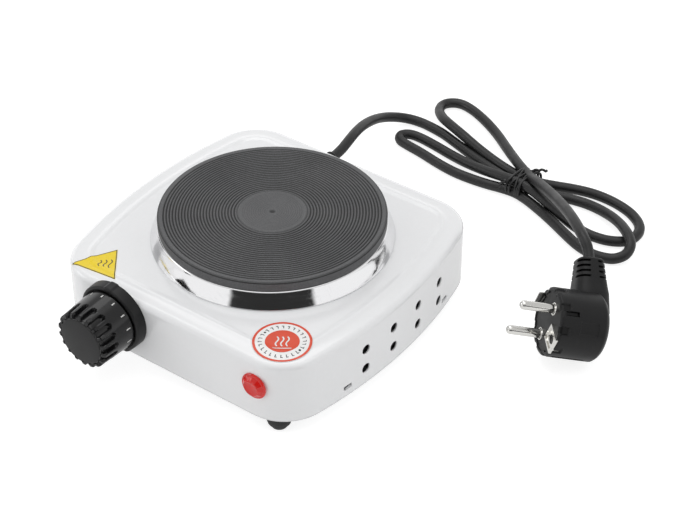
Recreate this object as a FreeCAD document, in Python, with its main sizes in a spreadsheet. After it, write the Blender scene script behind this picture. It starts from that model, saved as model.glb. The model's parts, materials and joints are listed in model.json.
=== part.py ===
import FreeCAD, Part
import Sketcher
import math
import os
import re

from FreeCAD import Placement, Rotation, Vector

# Hot plate burner.  Millimetres, +Z up.  The origin lies on the floor, under the middle of the appliance
# without its cord.  The front wall faces -Y and the cord leaves through the rear wall.

doc = FreeCAD.newDocument("hot_plate_burner")

# ---------------------------------------------------------------- driving sizes

SIZES = [
    # casing
    ("case_width", 172.2, "over the bowed side walls"),
    ("case_depth", 164.6, "front wall to rear wall"),
    ("side_bulge", 12.5, "bow of each side wall"),
    ("corner_radius", 25.7, "plan radius of the casing corners"),
    ("wall_height", 35.8, "casing wall"),
    ("top_edge_radius", 3.5, "pressed edge round the top panel"),
    ("casing_sheet", 1.0, "casing steel"),
    ("vent_radius", 2.8, "vent hole"),
    ("vent_pitch", 22.0, "along the side wall"),
    ("vent_count", 4, "pairs of vents on each side wall"),
    ("vent_middle", 3.0, "middle of the vents behind the casing centre"),
    ("vent_low", 9.8, "lower row above the wall edge"),
    ("vent_high", 22.0, "upper row above the wall edge"),
    ("slot_length", 5.6, "slot for a base tongue"),
    ("slot_tall", 2.5, "slot for a base tongue"),
    ("slot_offset", 43.0, "slot from the casing centre"),
    ("slot_low", 5.6, "slot centre above the wall edge"),
    # base plate and feet
    ("base_sheet", 1.0, "base plate steel"),
    ("base_gap", 0.5, "base plate to wall"),
    ("base_recess", 1.0, "base plate above the wall edge"),
    ("foot_height", 9.0, "floor to the wall edge"),
    ("foot_radius", 6.6, "rubber foot"),
    ("foot_out_across", 8.3, "foot outside the corner's plan centre, across"),
    ("foot_step", 0.5, "foot narrower inside the base's recess"),
    ("foot_head_radius", 3.4, "head of the foot's screw"),
    ("foot_head_depth", 1.4, "head of the foot's screw"),
    ("foot_head_sink", 1.2, "underside of the screw's head above the floor"),
    ("foot_head_gap", 0.2, "screw's head to its recess in the foot"),
    ("foot_screw_gap", 0.1, "screw to its way through the foot"),
    ("nut_block", 8.0, "clip nut"),
    ("nut_block_tall", 2.4, "clip nut"),
    ("foot_out_along", 16.0, "foot outside the corner's plan centre, along"),
    ("foot_screw_radius", 1.9, "foot screw"),
    # hot plate and trim ring
    ("plate_radius", 60.0, "cast plate"),
    ("plate_back", 3.5, "plate centre behind the casing centre"),
    ("plate_rise", 14.5, "plate top above the top panel"),
    ("plate_rim", 5.5, "rim thickness"),
    ("plate_bevel", 0.8, "top edge of the plate"),
    ("plate_web", 5.0, "thickness over the heater channel"),
    ("rim_overhang", 7.0, "plate rim outside the skirt wall"),
    ("skirt_wall", 3.0, "thickness of that wall"),
    ("skirt_depth", 7.5, "below the rim"),
    ("boss_radius", 8.0, "boss for the centre stud"),
    ("ring_flare", 4.3, "foot of the trim ring outside the plate"),
    ("ring_lip", 1.2, "top of the trim ring outside the plate"),
    ("ring_sheet", 0.8, "trim ring steel"),
    ("collar_gap", 3.0, "skirt wall to the outside of the ring collar"),
    ("collar_depth", 4.0, "collar below the top of the panel"),
    ("opening_gap", 0.6, "collar to panel opening"),
    # heater
    ("cover_sheet", 0.8, "cover under the heater"),
    ("cover_gap", 0.3, "cover to skirt and boss"),
    ("cover_recess", 0.8, "cover above the skirt edge"),
    ("coil_section", 2.0, "radius of a coil turn's section"),
    ("coil_from_boss", 12.0, "inner turn from the boss"),
    ("coil_from_wall", 10.0, "outer turn from the skirt wall"),
    ("pin_radius", 1.5, "heater terminal pin"),
    ("pin_across", 10.0, "pins from the plate axis, across"),
    ("pin_drop", 13.5, "pin end below the skirt edge"),
    ("bead_radius", 3.6, "ceramic bead on a pin"),
    ("bead_bore_gap", 0.25, "bead to pin"),
    ("shield_gap", 5.0, "heat shield inside the ring collar"),
    ("shield_sheet", 0.6, "heat shield sheet"),
    ("shield_wall", 4.0, "height of its rim"),
    ("strap_width", 22.0, "clamping strap"),
    ("strap_sheet", 1.5, "clamping strap steel"),
    ("strap_drop", 8.0, "strap below the panel"),
    ("strap_foot", 11.0, "length of the strap's bearing ends"),
    ("strap_clear", 1.5, "strap web outside the collar opening"),
    ("stud_radius", 3.0, "centre stud"),
    ("stud_grip", 5.0, "stud thread in the boss"),
    ("stud_tail", 2.0, "stud past the nut"),
    ("stud_gap", 0.3, "holes round the stud"),
    ("spacer_radius", 5.5, "spacer tube on the stud"),
    ("washer_radius", 8.0, "washer under the nut"),
    ("washer_thick", 1.4, "washer under the nut"),
    ("nut_flats", 10.0, "hexagon nut, across flats"),
    ("nut_height", 5.0, "hexagon nut"),
    # knob and thermostat
    ("knob_from_corner", 20.5, "knob axis from the left corner's plan centre"),
    ("knob_down", 13.3, "knob axis below the top panel"),
    ("knob_reach", 28.5, "front of the knob from the wall"),
    ("bezel_radius", 19.3, "fixed collar round the knob"),
    ("bezel_depth", 6.5, "fixed collar"),
    ("bezel_web", 2.3, "front face of the fixed collar"),
    ("knob_gap", 0.5, "knob to fixed collar"),
    ("grip_back_radius", 16.8, "knob beside the collar"),
    ("grip_front_radius", 16.0, "knob at its shoulder"),
    ("grip_wall", 1.8, "knob wall"),
    ("grip_shoulder", 3.2, "dome height of the knob"),
    ("flute_count", 18, "finger flutes round the knob"),
    ("flute_radius", 1.9, "finger flute"),
    ("flute_depth", 1.6, "finger flute into the knob"),
    ("flute_length", 9.5, "finger flute from the knob's front"),
    ("cap_radius", 12.6, "smooth cap in the knob"),
    ("cap_thick", 1.2, "cap rim thickness"),
    ("hub_radius", 5.2, "hub on the spindle"),
    ("hub_length", 13.0, "hub behind the knob's front wall"),
    ("spindle_radius", 3.0, "thermostat spindle"),
    ("spindle_flat", 1.8, "flat from the spindle axis"),
    ("spindle_gap", 0.15, "hub bore to spindle"),
    ("spindle_clear", 0.9, "wall and collar holes round the spindle"),
    ("spindle_inside", 10.0, "spindle behind the front wall face"),
    ("frame_width", 40.0, "thermostat frame"),
    ("frame_height", 19.0, "thermostat frame"),
    ("frame_sheet", 1.2, "thermostat frame"),
    ("stat_width", 30.0, "thermostat block"),
    ("stat_depth", 16.0, "thermostat block"),
    ("stat_height", 19.0, "thermostat block"),
    ("plunger_radius", 1.6, "thermostat plunger"),
    ("plunger_gap", 0.35, "bore round the plunger"),
    ("plunger_rest_gap", 0.3, "spindle end to the plunger at rest"),
    ("blade_width", 6.0, "contact blade"),
    ("blade_sheet", 0.8, "contact blade"),
    ("blade_spacing", 13.0, "blade to blade"),
    ("stat_screw_radius", 1.9, "thermostat fixing screw"),
    ("stat_screw_spread", 10.5, "screw from the knob axis"),
    # indicator
    ("lamp_out_across", 1.0, "indicator outside the right corner's plan centre"),
    ("lamp_down", 15.8, "indicator below the top panel"),
    ("lens_radius", 7.2, "indicator lens"),
    ("lens_proud", 3.2, "lens in front of the wall"),
    ("stem_radius", 5.4, "lens stem"),
    ("stem_wall", 1.2, "lens stem"),
    ("stem_length", 11.0, "lens stem behind the wall face"),
    ("stem_gap", 0.3, "holes round the stem"),
    ("holder_radius", 6.9, "lamp holder"),
    ("holder_length", 15.0, "lamp holder"),
    ("clip_set_back", 1.6, "spring washer behind the wall, which curves away here"),
    ("clip_radius", 6.9, "spring washer on the stem"),
    ("clip_sheet", 0.8, "spring washer on the stem"),
    ("neon_radius", 2.6, "neon lamp"),
    ("neon_length", 10.0, "neon lamp"),
    # mains inlet
    ("inlet_across", -36.0, "cord inlet from the centre line"),
    ("inlet_up", 13.0, "cord inlet above the wall edge"),
    ("cord_radius", 3.0, "mains cord"),
    ("gland_radius", 6.5, "cord sleeve at the wall"),
    ("gland_tip_radius", 4.2, "cord sleeve at its tip"),
    ("gland_length", 22.0, "cord sleeve outside the wall"),
    ("gland_flange", 8.5, "sleeve flange"),
    ("gland_flange_thick", 2.0, "sleeve flange"),
    ("gland_inside", 6.0, "sleeve behind the wall"),
    ("clamp_from_wall", 14.0, "cord clamp in front of the rear wall"),
    ("clamp_width", 10.0, "cord clamp along the cord"),
    ("clamp_wall", 3.0, "clamp round the cord"),
    ("block_from_wall", 33.0, "terminal block in front of the rear wall"),
    ("block_width", 34.0, "terminal block"),
    ("block_depth", 16.0, "terminal block"),
    ("block_height", 12.0, "terminal block"),
    ("block_pitch", 10.0, "way to way"),
    ("block_bore", 2.0, "wire entry"),
    ("block_screw_radius", 1.6, "terminal screw"),
    ("wire_radius", 1.2, "insulated wire"),
    ("earth_front", 42.0, "earth post in front of the terminal block"),
    ("earth_post_radius", 2.0, "earth post"),
    # plug
    ("plug_x", 142.1, "middle of the plug's contact face"),
    ("plug_y", 48.2, "same, behind the casing centre"),
    ("plug_turn", 225.2, "direction of the pins in degrees"),
    ("plug_tilt", 16.4, "pins above the level in degrees"),
    ("plug_roll", -8.9, "turn about the plug's axis in degrees"),
    ("plug_radius", 18.0, "plug body"),
    ("plug_depth", 28.0, "plug body behind its face"),
    ("plug_neck_depth", 23.5, "cord axis behind the face"),
    ("plug_neck_end", 20.0, "neck from the plug axis"),
    ("plug_neck_width", 16.0, "neck along the plug's axis"),
    ("plug_neck_height", 18.0, "neck across the plug's axis"),
    ("plug_exit", 27.0, "cord's way out, from a side contact towards the upper pin, in degrees"),
    ("relief_end", 36.0, "tip of the relief from the plug axis"),
    ("relief_radius", 8.0, "relief at the neck"),
    ("relief_tip_radius", 6.6, "relief at its tip"),
    ("cord_run_out", 5.0, "straight run of the cord at the relief"),
    ("plug_pin_radius", 2.4, "contact pin"),
    ("plug_pin_length", 19.0, "contact pin"),
    ("plug_pin_pitch", 19.0, "pin to pin"),
    ("plug_pin_root", 6.0, "pin inside the plug"),
    ("earth_clip_width", 8.0, "side contact"),
    ("earth_clip_sheet", 0.8, "side contact"),
    ("earth_clip_length", 5.0, "side contact"),
    ("earth_clip_sink", 2.0, "underside of a side contact inside the plug's outline"),
    ("earth_clip_gap", 0.4, "side contact to its bed, both sides together"),
    ("earth_plate_width", 10.0, "contact plate on the plug's face"),
    ("earth_plate_reach", 11.0, "contact plate from the side contact towards the plug axis"),
    ("earth_bore_way", 11.0, "socket bore from the plug axis"),
    ("earth_bore_radius", 2.4, "socket bore"),
    ("earth_bore_depth", 18.0, "socket bore"),
    # cord bundle
    ("bundle_height", 13.0, "tied cord bundle"),
    ("tie_length", 5.0, "tie along the cord"),
    ("tie_sheet", 1.0, "tie band"),
    # labels
    ("label_thick", 0.2, "printed labels"),
    ("label_size", 15.0, "round label's radius where the trim ring leaves room"),
    ("label_gap", 2.0, "round label to the trim ring, at least"),
    ("label_out_across", 3.5, "round label outside the corner's plan centre"),
    ("label_out_along", 6.2, "round label in front of the corner's plan centre"),
]

# Levels and places that follow from the sizes, each in terms of named sizes or other entries.
DERIVED = {
    "casing_y": "knob_reach / 2",
    "side_radius": "case_depth * case_depth / (8 * side_bulge) + side_bulge / 2",
    "corner_y": "case_depth / 2 - corner_radius",
    "corner_x": (
        "case_width / 2 - side_radius"
        " + sqrt(pow(side_radius - corner_radius; 2) - pow(corner_y; 2))"
    ),
    "foot_across": "corner_x + foot_out_across",
    "foot_along": "corner_y + foot_out_along",
    "knob_across": "knob_from_corner - corner_x",
    "lamp_across": "corner_x + lamp_out_across",
    "label_across": "corner_x + label_out_across",
    "label_front": "corner_y + label_out_along",
    "ring_base_radius": "plate_radius + ring_flare",
    "label_way": "sqrt(pow(label_across; 2) + pow(label_front + plate_back; 2))",
    "label_radius": "min(label_size; label_way - ring_base_radius - label_gap)",
    "ring_top_radius": "plate_radius + ring_lip",
    "skirt_radius": "plate_radius - rim_overhang",
    "collar_radius": "skirt_radius + collar_gap",
    "shield_radius": "collar_radius - shield_gap",
    "coil_inner": "boss_radius + coil_from_boss",
    "coil_pitch": "(channel_radius - coil_from_wall - coil_inner) / 2",
    "pin_front": "coil_inner + coil_pitch",
    "front_y": "casing_y - case_depth / 2",
    "rear_y": "casing_y + case_depth / 2",
    "top_z": "foot_height + wall_height",
    "plate_y": "casing_y + plate_back",
    "panel_z": "top_z - casing_sheet",
    "rim_z": "top_z + plate_rise - plate_rim",
    "plate_z": "top_z + plate_rise",
    "skirt_z": "rim_z - skirt_depth",
    "channel_radius": "skirt_radius - skirt_wall",
    "channel_z": "plate_z - plate_web",
    "opening_radius": "collar_radius + opening_gap",
    "fill_z": "skirt_z + cover_recess + cover_sheet",
    "coil_z": "(fill_z + channel_z) / 2",
    "strap_z": "panel_z - strap_drop",
    "washer_z": "strap_z - strap_sheet - washer_thick",
    "nut_z": "washer_z - nut_height",
    "stud_z": "nut_z - stud_tail",
    "pin_z": "skirt_z - pin_drop",
    "pin_y": "plate_y - pin_front",
    "web_x": "opening_radius + strap_clear",
    "knob_up": "wall_height - knob_down",
    "lamp_up": "wall_height - lamp_down",
    "knob_z": "foot_height + knob_up",
    "lamp_z": "foot_height + lamp_up",
    "clip_front": "-casing_sheet - clip_set_back",
    "inlet_z": "foot_height + inlet_up",
    "base_z": "foot_height + base_recess",
    "floor_z": "base_z + base_sheet",
    "half_flat": "case_width / 2 - side_bulge",
    "grip_start": "bezel_depth + knob_gap",
    "grip_length": "knob_reach - grip_start",
    "block_y": "rear_y - block_from_wall - block_depth / 2",
    "block_bore_z": "floor_z + block_height / 2",
    "clamp_y": "rear_y - clamp_from_wall",
    "stat_y": "front_y + casing_sheet + frame_sheet",
    "plunger_y": "front_y + spindle_inside + plunger_rest_gap",
    "earth_y": "block_y - earth_front + block_depth / 2",
    "clip_level": "plug_radius - earth_clip_sink",
    "plug_z": "plug_depth * sin(plug_tilt) + plug_radius * cos(plug_tilt)",
}

sheet = doc.addObject("Spreadsheet::Sheet", "Sizes")
for row, (alias, number, note) in enumerate(SIZES, start=1):
    sheet.set("A%d" % row, alias)
    sheet.set("B%d" % row, str(number))
    sheet.set("C%d" % row, note)
    sheet.setAlias("B%d" % row, alias)
doc.recompute()

ALIASES = {alias for alias, number, note in SIZES}


def bound(text):
    """Expression text with every named size as a cell of the sheet."""

    def swap(match):
        word = match.group(0)
        if word in DERIVED:
            return "(" + bound(DERIVED[word]) + ")"
        if word in ALIASES:
            return "Sizes." + word
        return word

    return re.sub(r"[a-z_]+", swap, str(text))


def value(text):
    """Number that the expression has now."""
    result = sheet.evalExpression(bound(text))
    return float(getattr(result, "Value", result))


parts = []


def piece(obj, label):
    """Name a sub-part and keep it for the export."""
    obj.Label = label
    parts.append(obj)
    return obj


def bind(obj, **links):
    for path, text in links.items():
        obj.setExpression(path.replace("__", "."), bound(text))
    return obj


def place(obj, x="0", y="0", z="0", turn=None):
    """Put an object at bound coordinates, turned by a fixed rotation."""
    if turn is not None:
        obj.Placement = Placement(Vector(), turn)
    obj.setExpression(".Placement.Base.x", bound(x))
    obj.setExpression(".Placement.Base.y", bound(y))
    obj.setExpression(".Placement.Base.z", bound(z))
    return obj


FORWARD = Rotation(Vector(1, 0, 0), 90)      # local +Z points out of the front wall
BACKWARD = Rotation(Vector(1, 0, 0), -90)    # local +Z points out of the rear wall
SIDEWAYS = Rotation(Vector(0, 1, 0), 90)     # local +Z points to +X

# ---------------------------------------------------------------- builders


def new_body(label):
    body = doc.addObject("PartDesign::Body", label)
    return piece(body, label)


def new_sketch(body, role, name):
    sketch = body.newObject("Sketcher::SketchObject", name)
    plane = [feature for feature in body.Origin.OriginFeatures if feature.Role == role][0]
    sketch.AttachmentSupport = (plane, [""])
    sketch.MapMode = "FlatFace"
    return sketch


def pin_point(sketch, edge, end, x, y):
    """Bind one sketch point to expressions for its two coordinates."""
    for kind, text in (("DistanceX", x), ("DistanceY", y)):
        number = sketch.addConstraint(Sketcher.Constraint(kind, -1, 1, edge, end, value(text)))
        sketch.setExpression("Constraints[%d]" % number, bound(text))


def polygon(body, role, name, points):
    """Closed outline of straight lines whose corners are bound to the sheet."""
    sketch = new_sketch(body, role, name)
    corners = [Vector(value(x), value(y), 0) for x, y in points]
    count = len(corners)
    for i in range(count):
        sketch.addGeometry(Part.LineSegment(corners[i], corners[(i + 1) % count]), False)
    for i in range(count):
        sketch.addConstraint(Sketcher.Constraint("Coincident", i, 2, (i + 1) % count, 1))
        pin_point(sketch, i, 1, points[i][0], points[i][1])
    return sketch


def circles(body, role, name, rings):
    """Circles bound to the sheet, each given as (x, y, radius)."""
    sketch = new_sketch(body, role, name)
    for i, (x, y, radius) in enumerate(rings):
        centre = Vector(value(x), value(y), 0)
        sketch.addGeometry(Part.Circle(centre, Vector(0, 0, 1), value(radius)), False)
        pin_point(sketch, i, 3, x, y)
        number = sketch.addConstraint(Sketcher.Constraint("Radius", i, value(radius)))
        sketch.setExpression("Constraints[%d]" % number, bound(radius))
    return sketch


def revolve(body, sketch):
    turn = body.newObject("PartDesign::Revolution", sketch.Name + "Turn")
    turn.Profile = sketch
    turn.ReferenceAxis = (sketch, ["V_Axis"])
    turn.Angle = 360
    return turn


def pad(body, sketch, length, start=None):
    block = body.newObject("PartDesign::Pad", sketch.Name + "Pad")
    block.Profile = sketch
    block.setExpression("Length", bound(length))
    if start is not None:
        sketch.setExpression(".AttachmentOffset.Base.z", bound(start))
    return block


def pocket(body, sketch, length, start=None, both=False, back=False):
    """Cut a sketch out of the body and check that it removed something."""
    before = value_of_volume(body)
    cut = body.newObject("PartDesign::Pocket", sketch.Name + "Cut")
    cut.Profile = sketch
    cut.Midplane = both
    cut.Reversed = back
    cut.setExpression("Length", bound(length))
    if start is not None:
        sketch.setExpression(".AttachmentOffset.Base.z", bound(start))
    doc.recompute()
    if not body.Shape.Volume < before - 1e-6:
        raise RuntimeError("pocket %s cuts nothing" % sketch.Name)
    return cut


def value_of_volume(body):
    doc.recompute()
    return body.Shape.Volume


def turned(label, points, x="0", y="0", z="0", turn=None):
    """Body of revolution about its own Z axis, from a bound outline of (radius, height) points."""
    body = new_body(label)
    revolve(body, polygon(body, "XZ_Plane", label + "Outline", points))
    place(body, x, y, z, turn)
    return body


def disc(label, radius, length, x="0", y="0", z="0", turn=None):
    """Plain cylinder primitive."""
    obj = doc.addObject("Part::Cylinder", label)
    bind(obj, Radius=radius, Height=length)
    return place(obj, x, y, z, turn)


def block(label, wide, deep, tall, x="0", y="0", z="0"):
    """Box primitive centred on x and y, standing on z."""
    obj = doc.addObject("Part::Box", label)
    bind(obj, Length=wide, Width=deep, Height=tall)
    return place(obj, "(%s) - (%s) / 2" % (x, wide), "(%s) - (%s) / 2" % (y, deep), z)


def fuse(label, shapes):
    obj = doc.addObject("Part::MultiFuse", label)
    obj.Shapes = shapes
    return obj


def cut(label, base, tools):
    obj = doc.addObject("Part::Cut", label)
    obj.Base = base
    obj.Tool = tools[0] if len(tools) == 1 else fuse(label + "Tools", tools)
    return obj


def group(label, shapes):
    """Several like solids in one sub-part."""
    obj = doc.addObject("Part::Compound", label)
    obj.Links = shapes
    return obj


def edges_where(shape, test):
    return ["Edge%d" % (i + 1) for i, edge in enumerate(shape.Edges) if test(edge)]


def upright(edge):
    box = edge.BoundBox
    return box.ZLength > 0.1 and box.XLength < 0.01 and box.YLength < 0.01


# ---------------------------------------------------------------- casing and base


def casing_outline(body, name, inset):
    """Flat front and rear, side walls bowed outward: two lines and two arcs."""
    sketch = new_sketch(body, "XY_Plane", name)
    flat = value("half_flat - (%s)" % inset)
    deep = value("case_depth / 2 - (%s)" % inset)
    side = value("case_width / 2 - (%s)" % inset)
    right = Part.Arc(Vector(flat, -deep, 0), Vector(side, 0, 0), Vector(flat, deep, 0))
    left = Part.Arc(Vector(-flat, deep, 0), Vector(-side, 0, 0), Vector(-flat, -deep, 0))
    sketch.addGeometry(Part.LineSegment(Vector(-flat, -deep, 0), Vector(flat, -deep, 0)), False)
    sketch.addGeometry(right, False)
    sketch.addGeometry(Part.LineSegment(Vector(flat, deep, 0), Vector(-flat, deep, 0)), False)
    sketch.addGeometry(left, False)
    sketch.addConstraint(Sketcher.Constraint("Coincident", 0, 2, 1, 1))
    sketch.addConstraint(Sketcher.Constraint("Coincident", 1, 2, 2, 1))
    sketch.addConstraint(Sketcher.Constraint("Coincident", 2, 2, 3, 1))
    sketch.addConstraint(Sketcher.Constraint("Coincident", 3, 2, 0, 1))
    corner_x = "half_flat - (%s)" % inset
    corner_y = "case_depth / 2 - (%s)" % inset
    pin_point(sketch, 0, 1, "-(%s)" % corner_x, "-(%s)" % corner_y)
    pin_point(sketch, 0, 2, corner_x, "-(%s)" % corner_y)
    pin_point(sketch, 2, 1, corner_x, corner_y)
    pin_point(sketch, 2, 2, "-(%s)" % corner_x, corner_y)
    radius = "(%s) * (%s) / (2 * side_bulge) + side_bulge / 2" % (corner_y, corner_y)
    for arc in (1, 3):
        number = sketch.addConstraint(Sketcher.Constraint("Radius", arc, value(radius)))
        sketch.setExpression("Constraints[%d]" % number, bound(radius))
    return sketch


def rounded_prism(label, inset, length, base):
    """Casing outline as a prism with rounded plan corners."""
    body = new_body(label)
    outline = casing_outline(body, label + "Outline", inset)
    solid = pad(body, outline, length)
    doc.recompute()
    corners = body.newObject("PartDesign::Fillet", label + "Corners")
    corners.Base = (solid, edges_where(solid.Shape, upright))
    corners.setExpression("Radius", bound("corner_radius - (%s)" % inset))
    place(body, "0", "casing_y", base)
    doc.recompute()
    return body, corners


shell, shell_corners = rounded_prism("top_shell", "0", "wall_height", "foot_height")
height = value("wall_height")
rim_edges = edges_where(shell_corners.Shape, lambda edge: edge.BoundBox.ZMin > height - 0.01)
top_edge = shell.newObject("PartDesign::Fillet", "TopEdge")
top_edge.Base = (shell_corners, rim_edges)
top_edge.setExpression("Radius", bound("top_edge_radius"))
doc.recompute()
under = [
    "Face%d" % (i + 1)
    for i, face in enumerate(top_edge.Shape.Faces)
    if face.BoundBox.ZMax < 0.01
]
hollow = shell.newObject("PartDesign::Thickness", "Hollow")
hollow.Base = (top_edge, under)
hollow.setExpression("Value", bound("casing_sheet"))
hollow.Reversed = True
hollow.Mode = 0
hollow.Join = 0
doc.recompute()

opening = circles(shell, "XY_Plane", "PlateOpening", [("0", "plate_back", "opening_radius")])
pocket(shell, opening, "casing_sheet * 3", start="wall_height + casing_sheet")

front_holes = circles(
    shell,
    "XZ_Plane",
    "FrontHoles",
    [
        ("knob_across", "knob_up", "spindle_radius + spindle_clear"),
        ("knob_across - stat_screw_spread", "knob_up", "stat_screw_radius + 0.2"),
        ("knob_across + stat_screw_spread", "knob_up", "stat_screw_radius + 0.2"),
        ("lamp_across", "lamp_up", "stem_radius + stem_gap"),
    ],
)
pocket(shell, front_holes, "casing_sheet * 3", start="case_depth / 2 + casing_sheet")

rear_hole = circles(shell, "XZ_Plane", "CordHole", [("inlet_across", "inlet_up", "gland_radius + stem_gap")])
pocket(shell, rear_hole, "casing_sheet * 3", start="-case_depth / 2 - casing_sheet", back=True)

vent_start = "vent_middle - vent_pitch * (vent_count - 1) / 2"
vents = circles(
    shell,
    "YZ_Plane",
    "FirstVents",
    [(vent_start, "vent_low", "vent_radius"), (vent_start, "vent_high", "vent_radius")],
)
first_vents = pocket(shell, vents, "case_width * 2", both=True)
vent_row = shell.newObject("PartDesign::LinearPattern", "VentRow")
vent_row.Originals = [first_vents]
vent_row.Direction = (vents, ["H_Axis"])
vent_row.setExpression("Length", bound("vent_pitch * (vent_count - 1)"))
vent_row.setExpression("Occurrences", bound("vent_count"))
shell.Tip = vent_row
doc.recompute()


def slot_corners(sign):
    low = "%s * slot_offset - slot_length / 2" % sign
    high = "%s * slot_offset + slot_length / 2" % sign
    return [
        (low, "slot_low - slot_tall / 2"),
        (high, "slot_low - slot_tall / 2"),
        (high, "slot_low + slot_tall / 2"),
        (low, "slot_low + slot_tall / 2"),
    ]


for end, sign in (("Front", "-1"), ("Rear", "1")):
    slot = polygon(shell, "YZ_Plane", "Slots" + end, slot_corners(sign))
    pocket(shell, slot, "case_width * 2", both=True)

# Base plate: the inside outline less a gap, with air slots, foot holes and four sprung tongues.
base, base_corners = rounded_prism(
    "base_plate_sheet", "casing_sheet + base_gap", "base_sheet", "base_z"
)
parts.remove(base)
air = polygon(
    base,
    "XY_Plane",
    "AirSlot",
    [("-40", "-30"), ("-18", "-30"), ("-18", "-27"), ("-40", "-27")],
)
air_cut = pocket(base, air, "base_sheet * 3", start="base_sheet * 2")
air_rows = base.newObject("PartDesign::LinearPattern", "AirRows")
air_rows.Originals = [air_cut]
air_rows.Direction = (air, ["H_Axis"])
air_rows.Length = 58
air_rows.Occurrences = 3
base.Tip = air_rows
doc.recompute()
feet_holes = []
for side in ("-1", "1"):
    for end in ("-1", "1"):
        feet_holes.append(
            ("%s * foot_across" % side, "%s * foot_along" % end, "foot_screw_radius + 0.2")
        )
pocket(base, circles(base, "XY_Plane", "FootHoles", feet_holes), "base_sheet * 3", start="base_sheet * 2")

tongue_half = "case_width / 2 - side_bulge * pow(slot_offset * 2 / case_depth; 2)"
tongue_bits = [base]
for side, sign in (("Left", "-1"), ("Right", "1")):
    for end, lean in (("Front", "-1"), ("Rear", "1")):
        along = "casing_y + %s * slot_offset" % lean
        wall = "%s * (%s - casing_sheet - base_gap - 1.5)" % (sign, tongue_half)
        ear = block(
            "Ear" + side + end,
            "1",
            "slot_length - 1.6",
            "slot_low - base_recess + 0.6",
            wall,
            along,
            "base_z",
        )
        tongue = block(
            "Tongue" + side + end,
            "casing_sheet + base_gap + 2",
            "slot_length - 1.6",
            "1.2",
            "%s * (%s - 1.5)" % (sign, tongue_half),
            along,
            "foot_height + slot_low - 0.6",
        )
        tongue_bits += [ear, tongue]
piece(fuse("BasePlate", tongue_bits), "base_plate")

# Feet: domed rubber with a screw up through the base plate into a clip nut.
foot_top = "base_recess + foot_height"
foot_screws = []
foot_nuts = []
for side, sign in (("left", "-1"), ("right", "1")):
    for end, lean in (("front", "-1"), ("rear", "1")):
        across = "%s * foot_across" % sign
        along = "casing_y + %s * foot_along" % lean
        foot = turned(
            "foot_%s_%s" % (end, side),
            [
                ("foot_screw_radius + foot_screw_gap", "foot_head_sink + foot_head_depth"),
                ("foot_screw_radius + foot_screw_gap", foot_top),
                ("foot_radius - foot_step", foot_top),
                ("foot_radius", "foot_height - 1"),
                ("foot_radius", "foot_height * 0.55"),
                ("foot_radius * 0.9", "foot_height * 0.3"),
                ("foot_radius * 0.72", "foot_height * 0.12"),
                ("foot_radius * 0.62", "0"),
                ("foot_head_radius + foot_head_gap", "0"),
                ("foot_head_radius + foot_head_gap", "foot_head_sink + foot_head_depth"),
            ],
            across,
            along,
        )
        head_at = (across, along, "foot_head_sink")
        shank_at = (across, along, "foot_head_sink * 2")
        screw = doc.addObject("Part::MultiFuse", "FootScrew" + side + end)
        screw.Shapes = [
            disc("FootScrewHead" + side + end, "foot_head_radius", "foot_head_depth", *head_at),
            disc("FootScrewShank" + side + end, "foot_screw_radius", "floor_z + foot_head_depth", *shank_at),
        ]
        foot_screws.append(screw)
        nut_at = (across, along, "floor_z")
        nut = cut(
            "ClipNut" + side + end,
            block("ClipNutBlock" + side + end, "nut_block", "nut_block", "nut_block_tall", *nut_at),
            [disc("ClipNutBore" + side + end, "foot_screw_radius", "nut_block_tall", *nut_at)],
        )
        foot_nuts.append(nut)
piece(group("FootScrews", foot_screws), "foot_screws")
piece(group("FootNuts", foot_nuts), "foot_nuts")

# ---------------------------------------------------------------- hot plate stack

plate = turned(
    "hot_plate",
    [
        ("0", "rim_z - skirt_depth + stud_grip + 1"),
        ("0", "plate_z"),
        ("plate_radius - plate_bevel", "plate_z"),
        ("plate_radius", "plate_z - plate_bevel"),
        ("plate_radius", "rim_z"),
        ("skirt_radius", "rim_z"),
        ("skirt_radius", "skirt_z"),
        ("channel_radius", "skirt_z"),
        ("channel_radius", "channel_z"),
        ("boss_radius", "channel_z"),
        ("boss_radius", "skirt_z"),
        ("stud_radius", "skirt_z"),
        ("stud_radius", "rim_z - skirt_depth + stud_grip + 1"),
    ],
    y="plate_y",
)
turned(
    "trim_ring",
    [
        ("ring_base_radius", "top_z"),
        ("ring_top_radius", "rim_z"),
        ("collar_radius - ring_sheet", "rim_z"),
        ("collar_radius - ring_sheet", "top_z - collar_depth"),
        ("collar_radius", "top_z - collar_depth"),
        ("collar_radius", "rim_z - ring_sheet"),
        ("ring_top_radius - ring_sheet", "rim_z - ring_sheet"),
        ("ring_base_radius - ring_sheet", "top_z"),
    ],
    y="plate_y",
)

# Heater: three rings of resistance coil joined by links, with two pins down to the wiring.
turns = []
for number in range(3):
    ring = doc.addObject("Part::Torus", "CoilTurn%d" % number)
    bind(ring, Radius1="coil_inner + coil_pitch * %d" % number, Radius2="coil_section")
    turns.append(place(ring, "0", "plate_y", "coil_z"))
for number in range(2):
    turns.append(
        disc(
            "CoilLink%d" % number,
            "coil_section * 0.9",
            "coil_pitch",
            "coil_inner + coil_pitch * %d" % number,
            "plate_y",
            "coil_z",
            SIDEWAYS,
        )
    )
for name, sign in (("Left", "-1"), ("Right", "1")):
    turns.append(
        disc("Pin" + name, "pin_radius", "coil_z - pin_z", "%s * pin_across" % sign, "pin_y", "pin_z")
    )
coil = piece(fuse("Coil", turns), "heating_coil")

fill_body = turned(
    "InsulationBlank",
    [
        ("boss_radius", "fill_z"),
        ("channel_radius", "fill_z"),
        ("channel_radius", "channel_z"),
        ("boss_radius", "channel_z"),
    ],
    y="plate_y",
)
parts.remove(fill_body)
piece(cut("Insulation", fill_body, [coil]), "insulation_fill")


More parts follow.
